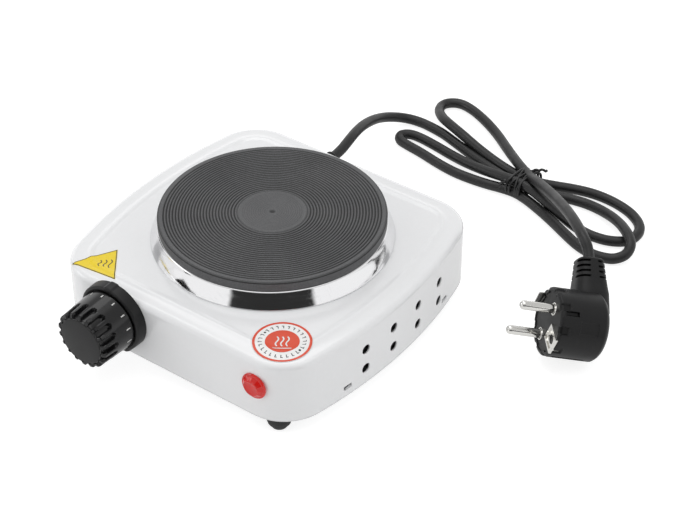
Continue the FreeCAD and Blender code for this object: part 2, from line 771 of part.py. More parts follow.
def pin_holes(tag, radius, low, tall):
    return [
        disc("PinHole%s%s" % (tag, name), radius, tall, "%s * pin_across" % sign, "pin_y", low)
        for name, sign in (("Left", "-1"), ("Right", "1"))
    ]


cover_blank = turned(
    "CoverBlank",
    [
        ("boss_radius + cover_gap", "skirt_z + cover_recess"),
        ("channel_radius - cover_gap", "skirt_z + cover_recess"),
        ("channel_radius - cover_gap", "fill_z"),
        ("boss_radius + cover_gap", "fill_z"),
    ],
    y="plate_y",
)
parts.remove(cover_blank)
cover_holes = pin_holes("Cover", "pin_radius + 0.6", "skirt_z", "fill_z - skirt_z + 1")
piece(cut("PlateCover", cover_blank, cover_holes), "plate_cover")

shield_blank = turned(
    "ShieldBlank",
    [
        ("stud_radius + stud_gap", "strap_z"),
        ("shield_radius - 2", "strap_z"),
        ("shield_radius", "strap_z + 2"),
        ("shield_radius", "strap_z + shield_wall"),
        ("shield_radius - shield_sheet", "strap_z + shield_wall"),
        ("shield_radius - shield_sheet", "strap_z + 2 + shield_sheet / 2"),
        ("shield_radius - 2 - shield_sheet / 2", "strap_z + shield_sheet"),
        ("stud_radius + stud_gap", "strap_z + shield_sheet"),
    ],
    y="plate_y",
)
parts.remove(shield_blank)
shield_holes = pin_holes("Shield", "bead_radius + 0.4", "strap_z - 1", "shield_sheet + 2")
piece(cut("Shield", shield_blank, shield_holes), "heat_shield")

bead_low = "strap_z - 1"
bead_tall = "skirt_z + cover_recess - (strap_z - 1)"
beads = []
for bore, (name, sign) in zip(
    pin_holes("Bead", "pin_radius + bead_bore_gap", bead_low, bead_tall),
    (("Left", "-1"), ("Right", "1")),
):
    outer = disc("Bead" + name, "bead_radius", bead_tall, "%s * pin_across" % sign, "pin_y", bead_low)
    beads.append(cut("BeadTube" + name, outer, [bore]))
piece(group("PinBeads", beads), "pin_beads")

lug_low = "pin_z - 1.2"
lugs = []
for name, sign in (("Left", "-1"), ("Right", "1")):
    lugs.append(block("Lug" + name, "11", "6", "1.2", "%s * pin_across" % sign, "pin_y", lug_low))
piece(group("PinLugs", lugs), "pin_lugs")

# Strap: bears on the underside of the panel each side of the opening and carries the centre stud.
strap = new_body("clamping_strap")
strap_profile = [
    ("web_x + strap_foot", "panel_z"),
    ("web_x + strap_foot", "panel_z - strap_sheet"),
    ("web_x + strap_sheet", "panel_z - strap_sheet"),
    ("web_x + strap_sheet", "strap_z - strap_sheet"),
    ("-web_x - strap_sheet", "strap_z - strap_sheet"),
    ("-web_x - strap_sheet", "panel_z - strap_sheet"),
    ("-web_x - strap_foot", "panel_z - strap_sheet"),
    ("-web_x - strap_foot", "panel_z"),
    ("-web_x", "panel_z"),
    ("-web_x", "strap_z"),
    ("web_x", "strap_z"),
    ("web_x", "panel_z"),
]
strap_pad = pad(strap, polygon(strap, "XZ_Plane", "StrapProfile", strap_profile), "strap_width")
strap_pad.Midplane = True
pocket(
    strap,
    circles(strap, "XY_Plane", "StrapHole", [("0", "0", "stud_radius + stud_gap")]),
    "strap_sheet * 4",
    start="strap_z + strap_sheet",
)
place(strap, "0", "plate_y", "0")

disc(
    "StudBlank",
    "stud_radius",
    "skirt_z + stud_grip - (stud_z)",
    "0",
    "plate_y",
    "stud_z",
)
piece(doc.getObject("StudBlank"), "centre_stud")
spacer = cut(
    "Spacer",
    disc("SpacerOuter", "spacer_radius", "skirt_z - strap_z - shield_sheet", "0", "plate_y", "strap_z + shield_sheet"),
    [
        disc(
            "SpacerBore",
            "stud_radius + stud_gap",
            "skirt_z - strap_z",
            "0",
            "plate_y",
            "strap_z",
        )
    ],
)
piece(spacer, "stud_spacer")
washer = cut(
    "Washer",
    disc("WasherOuter", "washer_radius", "washer_thick", "0", "plate_y", "washer_z"),
    [disc("WasherBore", "stud_radius + stud_gap", "washer_thick * 3", "0", "plate_y", "washer_z - 1")],
)
piece(washer, "stud_washer")


def hexagon(label, flats, tall, bore, x, y, z):
    prism = doc.addObject("Part::Prism", label + "Blank")
    prism.Polygon = 6
    bind(prism, Circumradius="%s / sqrt(3)" % flats, Height=tall)
    place(prism, x, y, z)
    hole = disc(label + "Bore", bore, tall, x, y, z)
    return cut(label, prism, [hole])


piece(hexagon("StudNut", "nut_flats", "nut_height", "stud_radius", "0", "plate_y", "nut_z"), "stud_nut")

# ---------------------------------------------------------------- knob and thermostat

knob_at = {"x": "knob_across", "y": "front_y", "z": "knob_z", "turn": FORWARD}

turned(
    "knob_bezel_ring",
    [
        ("bezel_radius", "0"),
        ("bezel_radius - 0.4", "bezel_depth - 1"),
        ("bezel_radius - 1.4", "bezel_depth"),
        ("spindle_radius + spindle_clear", "bezel_depth"),
        ("spindle_radius + spindle_clear", "bezel_depth - bezel_web"),
        ("bezel_radius - 2.4", "bezel_depth - bezel_web"),
        ("bezel_radius - 2.4", "0"),
    ],
    **knob_at
)
bezel_ring = parts.pop()
index = block(
    "IndexPip",
    "3",
    "bezel_depth - 1.5",
    "2.2",
    "knob_across",
    "front_y - (bezel_depth - 1.5) / 2",
    "knob_z + bezel_radius - 1.4",
)
piece(fuse("Bezel", [bezel_ring, index]), "knob_bezel")

grip = turned(
    "knob_grip",
    [
        ("grip_back_radius", "grip_start"),
        ("grip_front_radius", "knob_reach - grip_shoulder"),
        ("grip_front_radius - 1.6", "knob_reach - grip_shoulder / 3"),
        ("cap_radius + 0.2", "knob_reach - grip_shoulder / 5"),
        ("cap_radius + 0.2", "knob_reach - grip_shoulder / 5 - cap_thick"),
        ("spindle_radius + spindle_gap", "knob_reach - grip_shoulder / 5 - cap_thick"),
        ("spindle_radius + spindle_gap", "knob_reach - hub_length - cap_thick"),
        ("hub_radius", "knob_reach - hub_length - cap_thick"),
        ("hub_radius", "knob_reach - grip_shoulder / 5 - cap_thick - grip_wall"),
        ("grip_front_radius - grip_wall - flute_depth", "knob_reach - grip_shoulder - grip_wall / 2"),
        ("grip_back_radius - grip_wall - flute_depth", "grip_start"),
    ],
    **knob_at
)
flute = circles(
    grip,
    "XY_Plane",
    "Flute",
    [("grip_front_radius + flute_radius - flute_depth", "0", "flute_radius")],
)
first_flute = pocket(grip, flute, "flute_length", start="knob_reach - grip_shoulder / 5")
flute_ring = grip.newObject("PartDesign::PolarPattern", "FluteRing")
flute_ring.Originals = [first_flute]
flute_ring.Axis = (flute, ["N_Axis"])
flute_ring.Angle = 360
flute_ring.setExpression("Occurrences", bound("flute_count"))
grip.Tip = flute_ring
doc.recompute()

turned(
    "knob_cap",
    [
        ("0", "knob_reach"),
        ("cap_radius * 0.5", "knob_reach - 0.15"),
        ("cap_radius * 0.85", "knob_reach - 0.45"),
        ("cap_radius", "knob_reach - grip_shoulder / 5 - 0.25"),
        ("cap_radius", "knob_reach - grip_shoulder / 5 - cap_thick"),
        ("0", "knob_reach - grip_shoulder / 5 - cap_thick"),
    ],
    **knob_at
)

spindle_front = "knob_reach - grip_shoulder / 5 - cap_thick - 0.8"
spindle_round = disc(
    "SpindleRound",
    "spindle_radius",
    "spindle_inside + (%s)" % spindle_front,
    "knob_across",
    "front_y + spindle_inside",
    "knob_z",
    FORWARD,
)
flat_cut = block(
    "SpindleFlat",
    "spindle_radius * 3",
    "hub_length",
    "spindle_radius",
    "knob_across",
    "front_y - (%s) + hub_length / 2 - 0.01" % spindle_front,
    "knob_z + spindle_flat",
)
piece(cut("Spindle", spindle_round, [flat_cut]), "thermostat_spindle")

clip_low = "knob_reach - hub_length - cap_thick + 1"
clip_ring = cut(
    "HubClip",
    disc("HubClipOuter", "hub_radius + 0.7", "4", "knob_across", "front_y - (%s)" % clip_low, "knob_z", FORWARD),
    [
        disc(
            "HubClipBore",
            "hub_radius",
            "4",
            "knob_across",
            "front_y - (%s)" % clip_low,
            "knob_z",
            FORWARD,
        ),
        block(
            "HubClipGap",
            "3",
            "10",
            "hub_radius * 2",
            "knob_across",
            "front_y - (%s) - 2" % clip_low,
            "knob_z",
        ),
    ],
)
piece(clip_ring, "knob_hub_clip")

frame_plate = block(
    "StatFrameBlank",
    "frame_width",
    "frame_sheet",
    "frame_height",
    "knob_across",
    "front_y + casing_sheet + frame_sheet / 2",
    "knob_z - frame_height / 2",
)
frame_holes = [
    disc(
        "StatFrameBore",
        "spindle_radius + spindle_clear",
        "20",
        "knob_across",
        "front_y + 10",
        "knob_z",
        FORWARD,
    )
]
screw_solids = []
for name, sign in (("Left", "-1"), ("Right", "1")):
    across = "knob_across + %s * stat_screw_spread" % sign
    frame_holes.append(
        disc("StatFrameHole" + name, "stat_screw_radius", "20", across, "front_y + 10", "knob_z", FORWARD)
    )
    screw_solids.append(
        fuse(
            "StatScrew" + name,
            [
                disc("StatScrewHead" + name, "3.4", "2", across, "front_y", "knob_z", FORWARD),
                disc(
                    "StatScrewShank" + name,
                    "stat_screw_radius",
                    "casing_sheet + frame_sheet + 5",
                    across,
                    "front_y + casing_sheet + frame_sheet + 4.5",
                    "knob_z",
                    FORWARD,
                ),
            ],
        )
    )
piece(cut("StatFrame", frame_plate, frame_holes), "thermostat_frame")
piece(group("StatScrews", screw_solids), "thermostat_screws")

stat_blank = block(
    "StatBlank",
    "stat_width",
    "stat_depth",
    "stat_height",
    "knob_across",
    "stat_y + stat_depth / 2",
    "knob_z - stat_height / 2",
)
stat_tools = [
    disc(
        "StatSpindleBore",
        "spindle_radius + spindle_clear",
        "spindle_inside + 2",
        "knob_across",
        "front_y + spindle_inside + 0.6",
        "knob_z",
        FORWARD,
    ),
    disc(
        "StatPlungerBore",
        "plunger_radius + plunger_gap",
        "stat_depth * 2",
        "knob_across",
        "stat_y + stat_depth * 1.5",
        "knob_z",
        FORWARD,
    ),
]
for name, sign in (("Left", "-1"), ("Right", "1")):
    across = "knob_across + %s * stat_screw_spread" % sign
    stat_tools.append(
        disc(
            "StatScrewBore" + name,
            "stat_screw_radius",
            "10",
            across,
            "stat_y + 5",
            "knob_z",
            FORWARD,
        )
    )
piece(cut("StatBlock", stat_blank, stat_tools), "thermostat_block")

plunger_end = "stat_y + stat_depth + 1.5"
plunger = disc(
    "Plunger",
    "plunger_radius",
    "(%s) - plunger_y" % plunger_end,
    "knob_across",
    plunger_end,
    "knob_z",
    FORWARD,
)
piece(plunger, "thermostat_plunger")

# Contact blades stand behind the block, either side of the plunger, and the bimetal bridges above it.
blade_y = "stat_y + stat_depth + blade_sheet / 2"
blades = []
for name, sign in (("Left", "-1"), ("Right", "1")):
    blades.append(
        block(
            "Blade" + name,
            "blade_width",
            "blade_sheet",
            "stat_height - 4",
            "knob_across + %s * blade_spacing / 2" % sign,
            blade_y,
            "knob_z - stat_height / 2 + 1",
        )
    )
piece(group("Blades", blades), "contact_blades")
bimetal = block(
    "Bimetal",
    "stat_width - 6",
    "blade_sheet",
    "5",
    "knob_across",
    "stat_y + stat_depth + plunger_rest_gap + 4",
    "knob_z - 2.5",
)
bimetal_foot = block(
    "BimetalFoot",
    "4",
    "plunger_rest_gap + 4 + blade_sheet / 2 - blade_sheet",
    "5",
    "knob_across + stat_width / 2 - 5",
    "stat_y + stat_depth + blade_sheet + (plunger_rest_gap + 4 - blade_sheet / 2) / 2",
    "knob_z - 2.5",
)
piece(fuse("BimetalStrip", [bimetal, bimetal_foot]), "bimetal_strip")

# ---------------------------------------------------------------- indicator

lamp_at = {"x": "lamp_across", "y": "front_y", "z": "lamp_z", "turn": FORWARD}
turned(
    "indicator_lens",
    [
        ("0", "lens_proud"),
        ("lens_radius * 0.55", "lens_proud"),
        ("lens_radius * 0.9", "lens_proud * 0.45"),
        ("lens_radius", "lens_proud * 0.3"),
        ("lens_radius", "0"),
        ("stem_radius", "0"),
        ("stem_radius", "-stem_length"),
        ("stem_radius - stem_wall", "-stem_length"),
        ("stem_radius - stem_wall", "0.4"),
        ("0", "0.4"),
    ],
    **lamp_at
)
turned(
    "indicator_clip",
    [
        ("stem_radius + stem_gap", "clip_front"),
        ("clip_radius", "clip_front"),
        ("clip_radius", "clip_front - clip_sheet"),
        ("stem_radius + stem_gap", "clip_front - clip_sheet"),
    ],
    **lamp_at
)
holder_front = "clip_front - clip_sheet"
turned(
    "indicator_holder",
    [
        ("stem_radius + stem_gap", holder_front),
        ("holder_radius", holder_front),
        ("holder_radius", "%s - holder_length" % holder_front),
        ("0", "%s - holder_length" % holder_front),
        ("0", "-stem_length - 2"),
        ("neon_radius", "-stem_length - 2"),
        ("neon_radius", "-stem_length - 0.4"),
        ("stem_radius + stem_gap", "-stem_length - 0.4"),
    ],
    **lamp_at
)
turned(
    "neon_lamp",
    [
        ("0", "neon_length - stem_length - 2"),
        ("neon_radius * 0.5", "neon_length - stem_length - 2.4"),
        ("neon_radius", "neon_length - stem_length - 4"),
        ("neon_radius", "-stem_length - 2"),
        ("0", "-stem_length - 2"),
    ],
    **lamp_at
)

# ---------------------------------------------------------------- mains inlet

inlet_at = {"x": "inlet_across", "y": "rear_y", "z": "inlet_z", "turn": BACKWARD}
turned(
    "cord_gland",
    [
        ("cord_radius", "-casing_sheet - gland_inside"),
        ("gland_radius", "-casing_sheet - gland_inside"),
        ("gland_radius", "0"),
        ("gland_flange", "0"),
        ("gland_flange", "gland_flange_thick"),
        ("gland_radius", "gland_flange_thick"),
        ("gland_tip_radius", "gland_length"),
        ("cord_radius", "gland_length"),
    ],
    **inlet_at
)
inner_front = "rear_y - clamp_from_wall - clamp_width / 2 - 4"
piece(
    disc(
        "InnerCord",
        "cord_radius",
        "rear_y + gland_length - (%s)" % inner_front,
        "inlet_across",
        inner_front,
        "inlet_z",
        BACKWARD,
    ),
    "cord_inner_end",
)
clamp_blank = block(
    "ClampBlank",
    "cord_radius * 2 + clamp_wall * 2",
    "clamp_width",
    "inlet_z + cord_radius + clamp_wall - (floor_z)",
    "inlet_across",
    "clamp_y",
    "floor_z",
)
clamp_bore = disc(
    "ClampBore",
    "cord_radius",
    "clamp_width * 2",
    "inlet_across",
    "clamp_y - clamp_width",
    "inlet_z",
    BACKWARD,
)
piece(cut("Clamp", clamp_blank, [clamp_bore]), "cord_clamp")

block_blank = block(
    "TerminalBlank", "block_width", "block_depth", "block_height", "inlet_across", "block_y", "floor_z"
)
terminal_cuts = []
terminal_screws = []
for way in ("-1", "0", "1"):
    across = "inlet_across + %s * block_pitch" % way
    tag = "Way%s" % {"-1": "Left", "0": "Middle", "1": "Right"}[way]
    terminal_cuts.append(
        disc("Bore" + tag, "block_bore", "block_depth * 2", across, "block_y - block_depth", "block_bore_z", BACKWARD)
    )
    for row, sign in (("Front", "-1"), ("Rear", "1")):
        along = "block_y + %s * block_depth / 4" % sign
        low = "block_bore_z + wire_radius"
        terminal_cuts.append(
            disc("ScrewHole" + tag + row, "block_screw_radius", "block_height", across, along, "block_bore_z")
        )
        terminal_screws.append(
            disc(
                "Screw" + tag + row,
                "block_screw_radius",
                "floor_z + block_height - (%s)" % low,
                across,
                along,
                low,
            )
        )
piece(cut("TerminalBlock", block_blank, terminal_cuts), "terminal_block")
piece(group("TerminalScrews", terminal_screws), "terminal_screws")

earth_post = disc("EarthPost", "earth_post_radius", "9", "inlet_across", "earth_y", "floor_z")
piece(earth_post, "earth_post")
lug_plate = cut(
    "EarthLug",
    block("EarthLugBlank", "8", "13", "1", "inlet_across", "earth_y + 2.5", "floor_z + 3"),
    [disc("EarthLugHole", "earth_post_radius", "4", "inlet_across", "earth_y", "floor_z + 2")],
)
piece(lug_plate, "earth_lug")
earth_nuts = [
    hexagon("EarthNutUpper", "7", "3", "earth_post_radius", "inlet_across", "earth_y", "floor_z + 4"),
    hexagon("EarthNutLower", "7", "3", "earth_post_radius", "inlet_across", "earth_y", "floor_z"),
]
piece(group("EarthNuts", earth_nuts), "earth_nuts")

# ---------------------------------------------------------------- cords and wires


def tube(label, points, radius):
    """Round tube along straight runs joined by tangent arcs, as large as the runs allow."""
    corners = [Vector(*point) for point in points]
    joints = []
    for i in range(1, len(corners) - 1):
        back = corners[i - 1] - corners[i]
        ahead = corners[i + 1] - corners[i]
        half_turn = (math.pi - back.getAngle(ahead)) / 2
        reach = 0.45 * min(back.Length, ahead.Length)
        joints.append((i, back.normalize(), ahead.normalize(), half_turn, reach))
    edges = []
    here = corners[0]
    radii = []
    for i, back, ahead, half_turn, reach in joints:
        arc_start = corners[i] + back * reach
        arc_end = corners[i] + ahead * reach
        arc_radius = reach / math.tan(half_turn)
        sag = arc_radius / math.cos(half_turn) - arc_radius
        middle = corners[i] + (back + ahead).normalize() * sag
        edges.append(Part.LineSegment(here, arc_start).toShape())
        edges.append(Part.Arc(arc_start, middle, arc_end).toShape())
        radii.append(round(arc_radius, 1))
        here = arc_end
    edges.append(Part.LineSegment(here, corners[-1]).toShape())
    spine = Part.Wire(edges)
    heading = (corners[1] - corners[0]).normalize()
    section = Part.Wire([Part.Circle(corners[0], heading, radius).toShape()])
    shape = spine.makePipeShell([section], True, False)
    expected = math.pi * radius ** 2 * spine.Length
    print(label, "length %.0f" % spine.Length, "radii", radii, "volume %.3f" % (shape.Volume / expected))
    obj = doc.addObject("Part::Feature", label + "Tube")
    obj.Shape = shape
    return obj


case_y = value("casing_y")
rear = value("rear_y")
inlet = (value("inlet_across"), value("inlet_z"))
sleeve_end = rear + value("gland_length")

# Route of the free cord, chosen by hand, from the casing centre.
LEAD_ROUTE = [
    (-36.0, 112.0, 22.0),
    (-37.6, 122.5, 23.2),
    (-41.4, 136.5, 21.6),
    (-45.2, 151.5, 17.2),
    (-47.0, 166.0, 12.0),
    (-45.4, 178.0, 7.0),
    (-40.0, 186.0, 3.8),
    (-31.6, 188.4, 3.0),
    (-24.0, 187.8, 3.0),
    (-14.0, 186.2, 3.0),
]
TAIL_ROUTE = [
    (61.0, 166.4, 10.0),
    (67.0, 160.2, 16.0),
    (76.5, 151.0, 22.8),
    (88.5, 139.6, 29.5),
    (105.5, 123.0, 38.2),
    (120.1, 108.7, 44.2),
    (134.2, 95.4, 46.0),
]
BUNDLE_LEFT = [
    (50.0, 180.0), (20.0, 208.0), (2.0, 218.0), (-15.0, 225.0), (-31.0, 225.0),
    (-38.0, 218.0), (-38.0, 163.0), (-30.0, 160.0), (-21.0, 155.0), (-2.0, 149.0),
    (30.0, 147.5), (50.0, 153.0),
]
BUNDLE_RIGHT = [
    (59.0, 156.0), (90.0, 146.0), (112.0, 134.0), (124.0, 132.5), (134.0, 137.5),
    (138.5, 150.0), (136.0, 162.0), (131.0, 175.0), (124.0, 185.0), (111.0, 191.5),
    (97.0, 192.5), (59.0, 183.0),
]
WAIST = (157.0, 177.0, 1.2, 12.4)            # y and z limits of the tied bundle
TIE_X = 54.5


def from_casing(points):
    return [(x, y + case_y, z) for x, y, z in points]


def slab(label, outline, low, high):
    """Flat prism of a hand-chosen outline."""
    ring = Part.makePolygon([Vector(x, y + case_y, low) for x, y in outline + outline[:1]])
    obj = doc.addObject("Part::Feature", label)
    obj.Shape = Part.Face(ring).extrude(Vector(0, 0, high - low))
    return obj


bundle_height = value("bundle_height")
waist_outline = [(45.0, WAIST[0]), (64.0, WAIST[0]), (64.0, WAIST[1]), (45.0, WAIST[1])]
bundle = fuse(
    "Bundle",
    [
        slab("BundleLeft", BUNDLE_LEFT, 0.0, bundle_height),
        slab("BundleRight", BUNDLE_RIGHT, 0.0, bundle_height),
        slab("BundleWaist", waist_outline, WAIST[2], WAIST[3]),
    ],
)
piece(bundle, "cord_bundle")

tie_sheet = value("tie_sheet")
half_tie = value("tie_length") / 2
tie_outline = [
    (TIE_X - half_tie, WAIST[0] - tie_sheet),
    (TIE_X + half_tie, WAIST[0] - tie_sheet),
    (TIE_X + half_tie, WAIST[1] + tie_sheet),
    (TIE_X - half_tie, WAIST[1] + tie_sheet),
]
tie_band = slab("TieBand", tie_outline, WAIST[2] - tie_sheet, WAIST[3] + tie_sheet)
piece(cut("Tie", tie_band, [doc.getObject("BundleWaist")]), "cord_tie")

cord_radius = value("cord_radius")
plug_at = Vector(value("plug_x"), value("plug_y") + case_y, value("plug_z"))
plug_rotation = Rotation(value("plug_turn"), -value("plug_tilt"), value("plug_roll"))
plug_frame = Placement(plug_at, plug_rotation)
exit_turn = Placement(Vector(0, 0, 0), Rotation(Vector(1, 0, 0), -value("plug_exit")))
neck_frame = plug_frame * exit_turn
relief_tip = neck_frame.multVec(Vector(-value("plug_neck_depth"), -value("relief_end"), 0))
run_out = -value("relief_end") - value("cord_run_out")
before_tip = neck_frame.multVec(Vector(-value("plug_neck_depth"), run_out, 0))

lead_points = [(inlet[0], sleeve_end, inlet[1])] + from_casing(LEAD_ROUTE)
tail_points = from_casing(TAIL_ROUTE) + [tuple(before_tip), tuple(relief_tip)]
piece(cut("Lead", tube("lead", lead_points, cord_radius), [bundle]), "cord_lead")
piece(cut("Tail", tube("tail", tail_points, cord_radius), [bundle]), "cord_tail")

# Wires inside the casing: three cores to the terminal block, then on to what each one feeds.
wire = value("wire_radius")
core_y = value(inner_front)
bore_z = value("block_bore_z")
pitch = value("block_pitch")
block_rear = value("block_y + block_depth / 2")
block_front = value("block_y - block_depth / 2")
plug_in = value("block_depth") / 2 - 1.5


def core(label, offset_x, offset_z, way):
    across = inlet[0] + way * pitch
    return tube(
        label,
        [
            (inlet[0] + offset_x, core_y, inlet[1] + offset_z),
            (inlet[0] + offset_x, core_y - 2.5, inlet[1] + offset_z),
            (across, block_rear + 2.0, bore_z),
            (across, block_rear - plug_in, bore_z),
        ],
        wire,
    )


cores = [core("live_core", -1.4, -0.8, -1), core("earth_core", 0.0, 1.5, 0), core("neutral_core", 1.4, -0.8, 1)]
piece(group("Cores", cores), "cord_cores")

stat_rear = value("stat_y + stat_depth + blade_sheet")
knob_x = value("knob_across")
half_blades = value("blade_spacing") / 2
blade_low = value("knob_z - stat_height / 2 + 3.5")
pin_x = value("pin_across")
pin_at_y = value("pin_y")
lug_under = value(lug_low)
lamp_x = value("lamp_across")
lamp_height = value("lamp_z")
holder_rear = value("front_y - clip_front + clip_sheet + holder_length")
earth_lug_y = value("earth_y + 7")
floor_top = value("floor_z")

piece(
    tube(
        "live",
        [
            (inlet[0] - pitch, block_front + plug_in, bore_z),
            (inlet[0] - pitch, block_front - 10, bore_z),
            (inlet[0] - pitch - 4, block_front - 34, bore_z),
            (knob_x - half_blades - 3, stat_rear + 26, bore_z + 1),
            (knob_x - half_blades, stat_rear + 10, blade_low),
            (knob_x - half_blades, stat_rear, blade_low),
        ],
        wire,
    ),
    "live_wire",
)
piece(
    tube(
        "switched",
        [
            (knob_x + half_blades, stat_rear, blade_low),
            (knob_x + half_blades, stat_rear + 8, blade_low),
            (knob_x + half_blades + 7, stat_rear + 18, blade_low - 3),
            (-pin_x - 5, pin_at_y - 5, lug_under - 9),
            (-pin_x - 2.5, pin_at_y, lug_under - 6),
            (-pin_x - 2.5, pin_at_y, lug_under),
        ],
        wire,
    ),
    "switched_wire",
)
piece(
    tube(
        "neutral",
        [
            (inlet[0] + pitch, block_front + plug_in, bore_z),
            (inlet[0] + pitch, block_front - 8, bore_z),
            (-10, pin_at_y + 34, bore_z + 1),
            (5, pin_at_y + 14, bore_z + 3),
            (pin_x - 2.5, pin_at_y, lug_under - 10),
            (pin_x - 2.5, pin_at_y, lug_under),
        ],
        wire,
    ),
    "neutral_wire",
)
piece(
    tube(
        "earth",
        [
            (inlet[0], block_front + plug_in, bore_z),
            (inlet[0], block_front - 7, bore_z),
            (inlet[0], earth_lug_y + 10, floor_top + 6.5),
            (inlet[0], earth_lug_y + 4, floor_top + 3.5),
            (inlet[0], earth_lug_y + 2, floor_top + 3.5),
        ],
        wire,
    ),
    "earth_wire",
)
lamp_wires = [
    tube(
        "lamp_neutral",
        [
            (lamp_x - 2, holder_rear, lamp_height),
            (lamp_x - 2, holder_rear + 8, lamp_height),
            (lamp_x - 18, holder_rear + 16, bore_z + 5),
            (pin_x + 10, pin_at_y - 6, bore_z + 6),
            (pin_x + 2.5, pin_at_y, lug_under - 7),
            (pin_x + 2.5, pin_at_y, lug_under),
        ],
        wire,
    ),
    tube(
        "lamp_live",
        [
            (lamp_x + 2, holder_rear, lamp_height),
            (lamp_x + 2, holder_rear + 6, lamp_height),
            (lamp_x - 16, holder_rear + 10, bore_z - 1),
            (pin_x, pin_at_y - 18, bore_z - 2),
            (-pin_x, pin_at_y - 10, bore_z),
            (-pin_x + 2.5, pin_at_y, lug_under - 8),
            (-pin_x + 2.5, pin_at_y, lug_under),
        ],
        wire,
    ),
]
piece(group("LampWires", lamp_wires), "lamp_wires")

# ---------------------------------------------------------------- plug

# The plug is made about its own axis: +X along the pins, which stand one above the other in Z, and the side
# contacts in Y. Its neck is made towards -Y, turned to the cord's way out, and the whole then set in place.
plug_round = disc("PlugRound", "plug_radius", "plug_depth", "-plug_depth", "0", "0", SIDEWAYS)
plug_neck = block(
    "PlugNeck",
    "plug_neck_width",
    "plug_neck_end",
    "plug_neck_height",
    "-plug_neck_depth",
    "-plug_neck_end / 2",
    "-plug_neck_height / 2",
)
neck_turned = group("PlugNeckTurned", [plug_neck])
neck_turned.Placement = exit_turn
pin_solids = []
pin_bores = []
for name, sign in (("Lower", "-1"), ("Upper", "1")):
    level = "%s * plug_pin_pitch / 2" % sign
    start = ("-plug_pin_root", "0", level, SIDEWAYS)
    pin_solids.append(disc("PlugPin" + name, "plug_pin_radius", "plug_pin_length + plug_pin_root", *start))
    pin_bores.append(disc("PlugBore" + name, "plug_pin_radius", "plug_pin_root", *start))

clip_size = ("earth_clip_length", "earth_clip_sheet", "earth_clip_width")
bed_size = ("earth_clip_length * 2", "plug_radius", "earth_clip_width + earth_clip_gap")
clip_low = "-earth_clip_width / 2"
bed_low = "-(earth_clip_width + earth_clip_gap) / 2"
clip_sides = []
clip_beds = []
for name, sign in (("Cord", "-1"), ("Open", "1")):
    clip_y = "%s * (clip_level + earth_clip_sheet / 2)" % sign
    bed_y = "%s * (clip_level + plug_radius / 2)" % sign
    clip_sides.append(block("Clip" + name, *clip_size, "-earth_clip_length / 2", clip_y, clip_low))
    clip_beds.append(block("Bed" + name, *bed_size, "0", bed_y, bed_low))

# The open side's contact is bent over the face, where it frames the bore for a socket's earth pin.
plate_y = "clip_level + earth_clip_sheet - earth_plate_reach / 2"
earth_plate = block(
    "EarthPlate",
    "earth_clip_sheet",
    "earth_plate_reach",
    "earth_plate_width",
    "earth_clip_sheet / 2",
    plate_y,
    "-earth_plate_width / 2",
)
bore_start = ("-earth_bore_depth", "earth_bore_way", "0", SIDEWAYS)
earth_bore = disc("EarthBore", "earth_bore_radius", "earth_bore_depth", *bore_start)
plate_bore = disc("PlateBore", "earth_bore_radius", "earth_bore_depth * 2", *bore_start)
bent_contact = cut("BentContact", fuse("BentBlank", [clip_sides[1], earth_plate]), [plate_bore])

plug_blank = fuse("PlugBlank", [plug_round, neck_turned])
plug_body = cut("PlugBody", plug_blank, pin_bores + clip_beds + [earth_bore])
relief_body = turned(
    "PlugReliefBlank",
    [
        ("0", "plug_neck_end"),
        ("relief_radius", "plug_neck_end"),
        ("relief_tip_radius", "relief_end"),
        ("0", "relief_end"),
    ],
    "-plug_neck_depth",
    "0",
    "0",
    FORWARD,
)
parts.remove(relief_body)

for source, label, source_frame in (
    (plug_body, "plug_body", plug_frame),
    (group("PlugPins", pin_solids), "plug_pins", plug_frame),
    (group("PlugClips", [clip_sides[0], bent_contact]), "plug_earth_clips", plug_frame),
    (relief_body, "plug_relief", neck_frame),
):
    turned_piece = group(label + "Turned", [source])
    turned_piece.Placement = source_frame
    piece(turned_piece, label)

# ---------------------------------------------------------------- labels

piece(
    disc("RoundLabel", "label_radius", "label_thick", "label_across", "casing_y - label_front", "top_z"),
    "round_label",
)
triangle = new_body("triangle_label")
TRIANGLE = [(-12.3, -18.4), (12.9, -17.9), (-2.3, 1.3)]      # from the left corner's plan centre
triangle_points = [("%s - corner_x" % x, "%s - corner_y" % y) for x, y in TRIANGLE]
triangle_sketch = polygon(triangle, "XY_Plane", "TriangleOutline", triangle_points)
pad(triangle, triangle_sketch, "label_thick")
place(triangle, "0", "casing_y", "top_z")

# ---------------------------------------------------------------- checks and export

doc.recompute()
for obj in doc.Objects:
    if "Invalid" in obj.State or "Error" in obj.State:
        raise RuntimeError("%s is in state %s" % (obj.Name, obj.State))
for obj in parts:
    if obj.Shape.isNull() or not obj.Shape.isValid() or not obj.Shape.Solids:
        raise RuntimeError("%s has no sound shape" % obj.Label)

os.makedirs("parts", exist_ok=True)
for obj in parts:
    obj.Shape.exportStep("parts/%s.step" % obj.Label)
print(len(parts), "sub-parts written")
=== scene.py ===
"""Small electric hot plate: white pressed casing, grooved cast plate, heat knob and tied mains cord."""
import json
import math

import bpy
import numpy as np
from bpy.props import FloatProperty, FloatVectorProperty, IntProperty, PointerProperty
from mathutils import Matrix, Vector


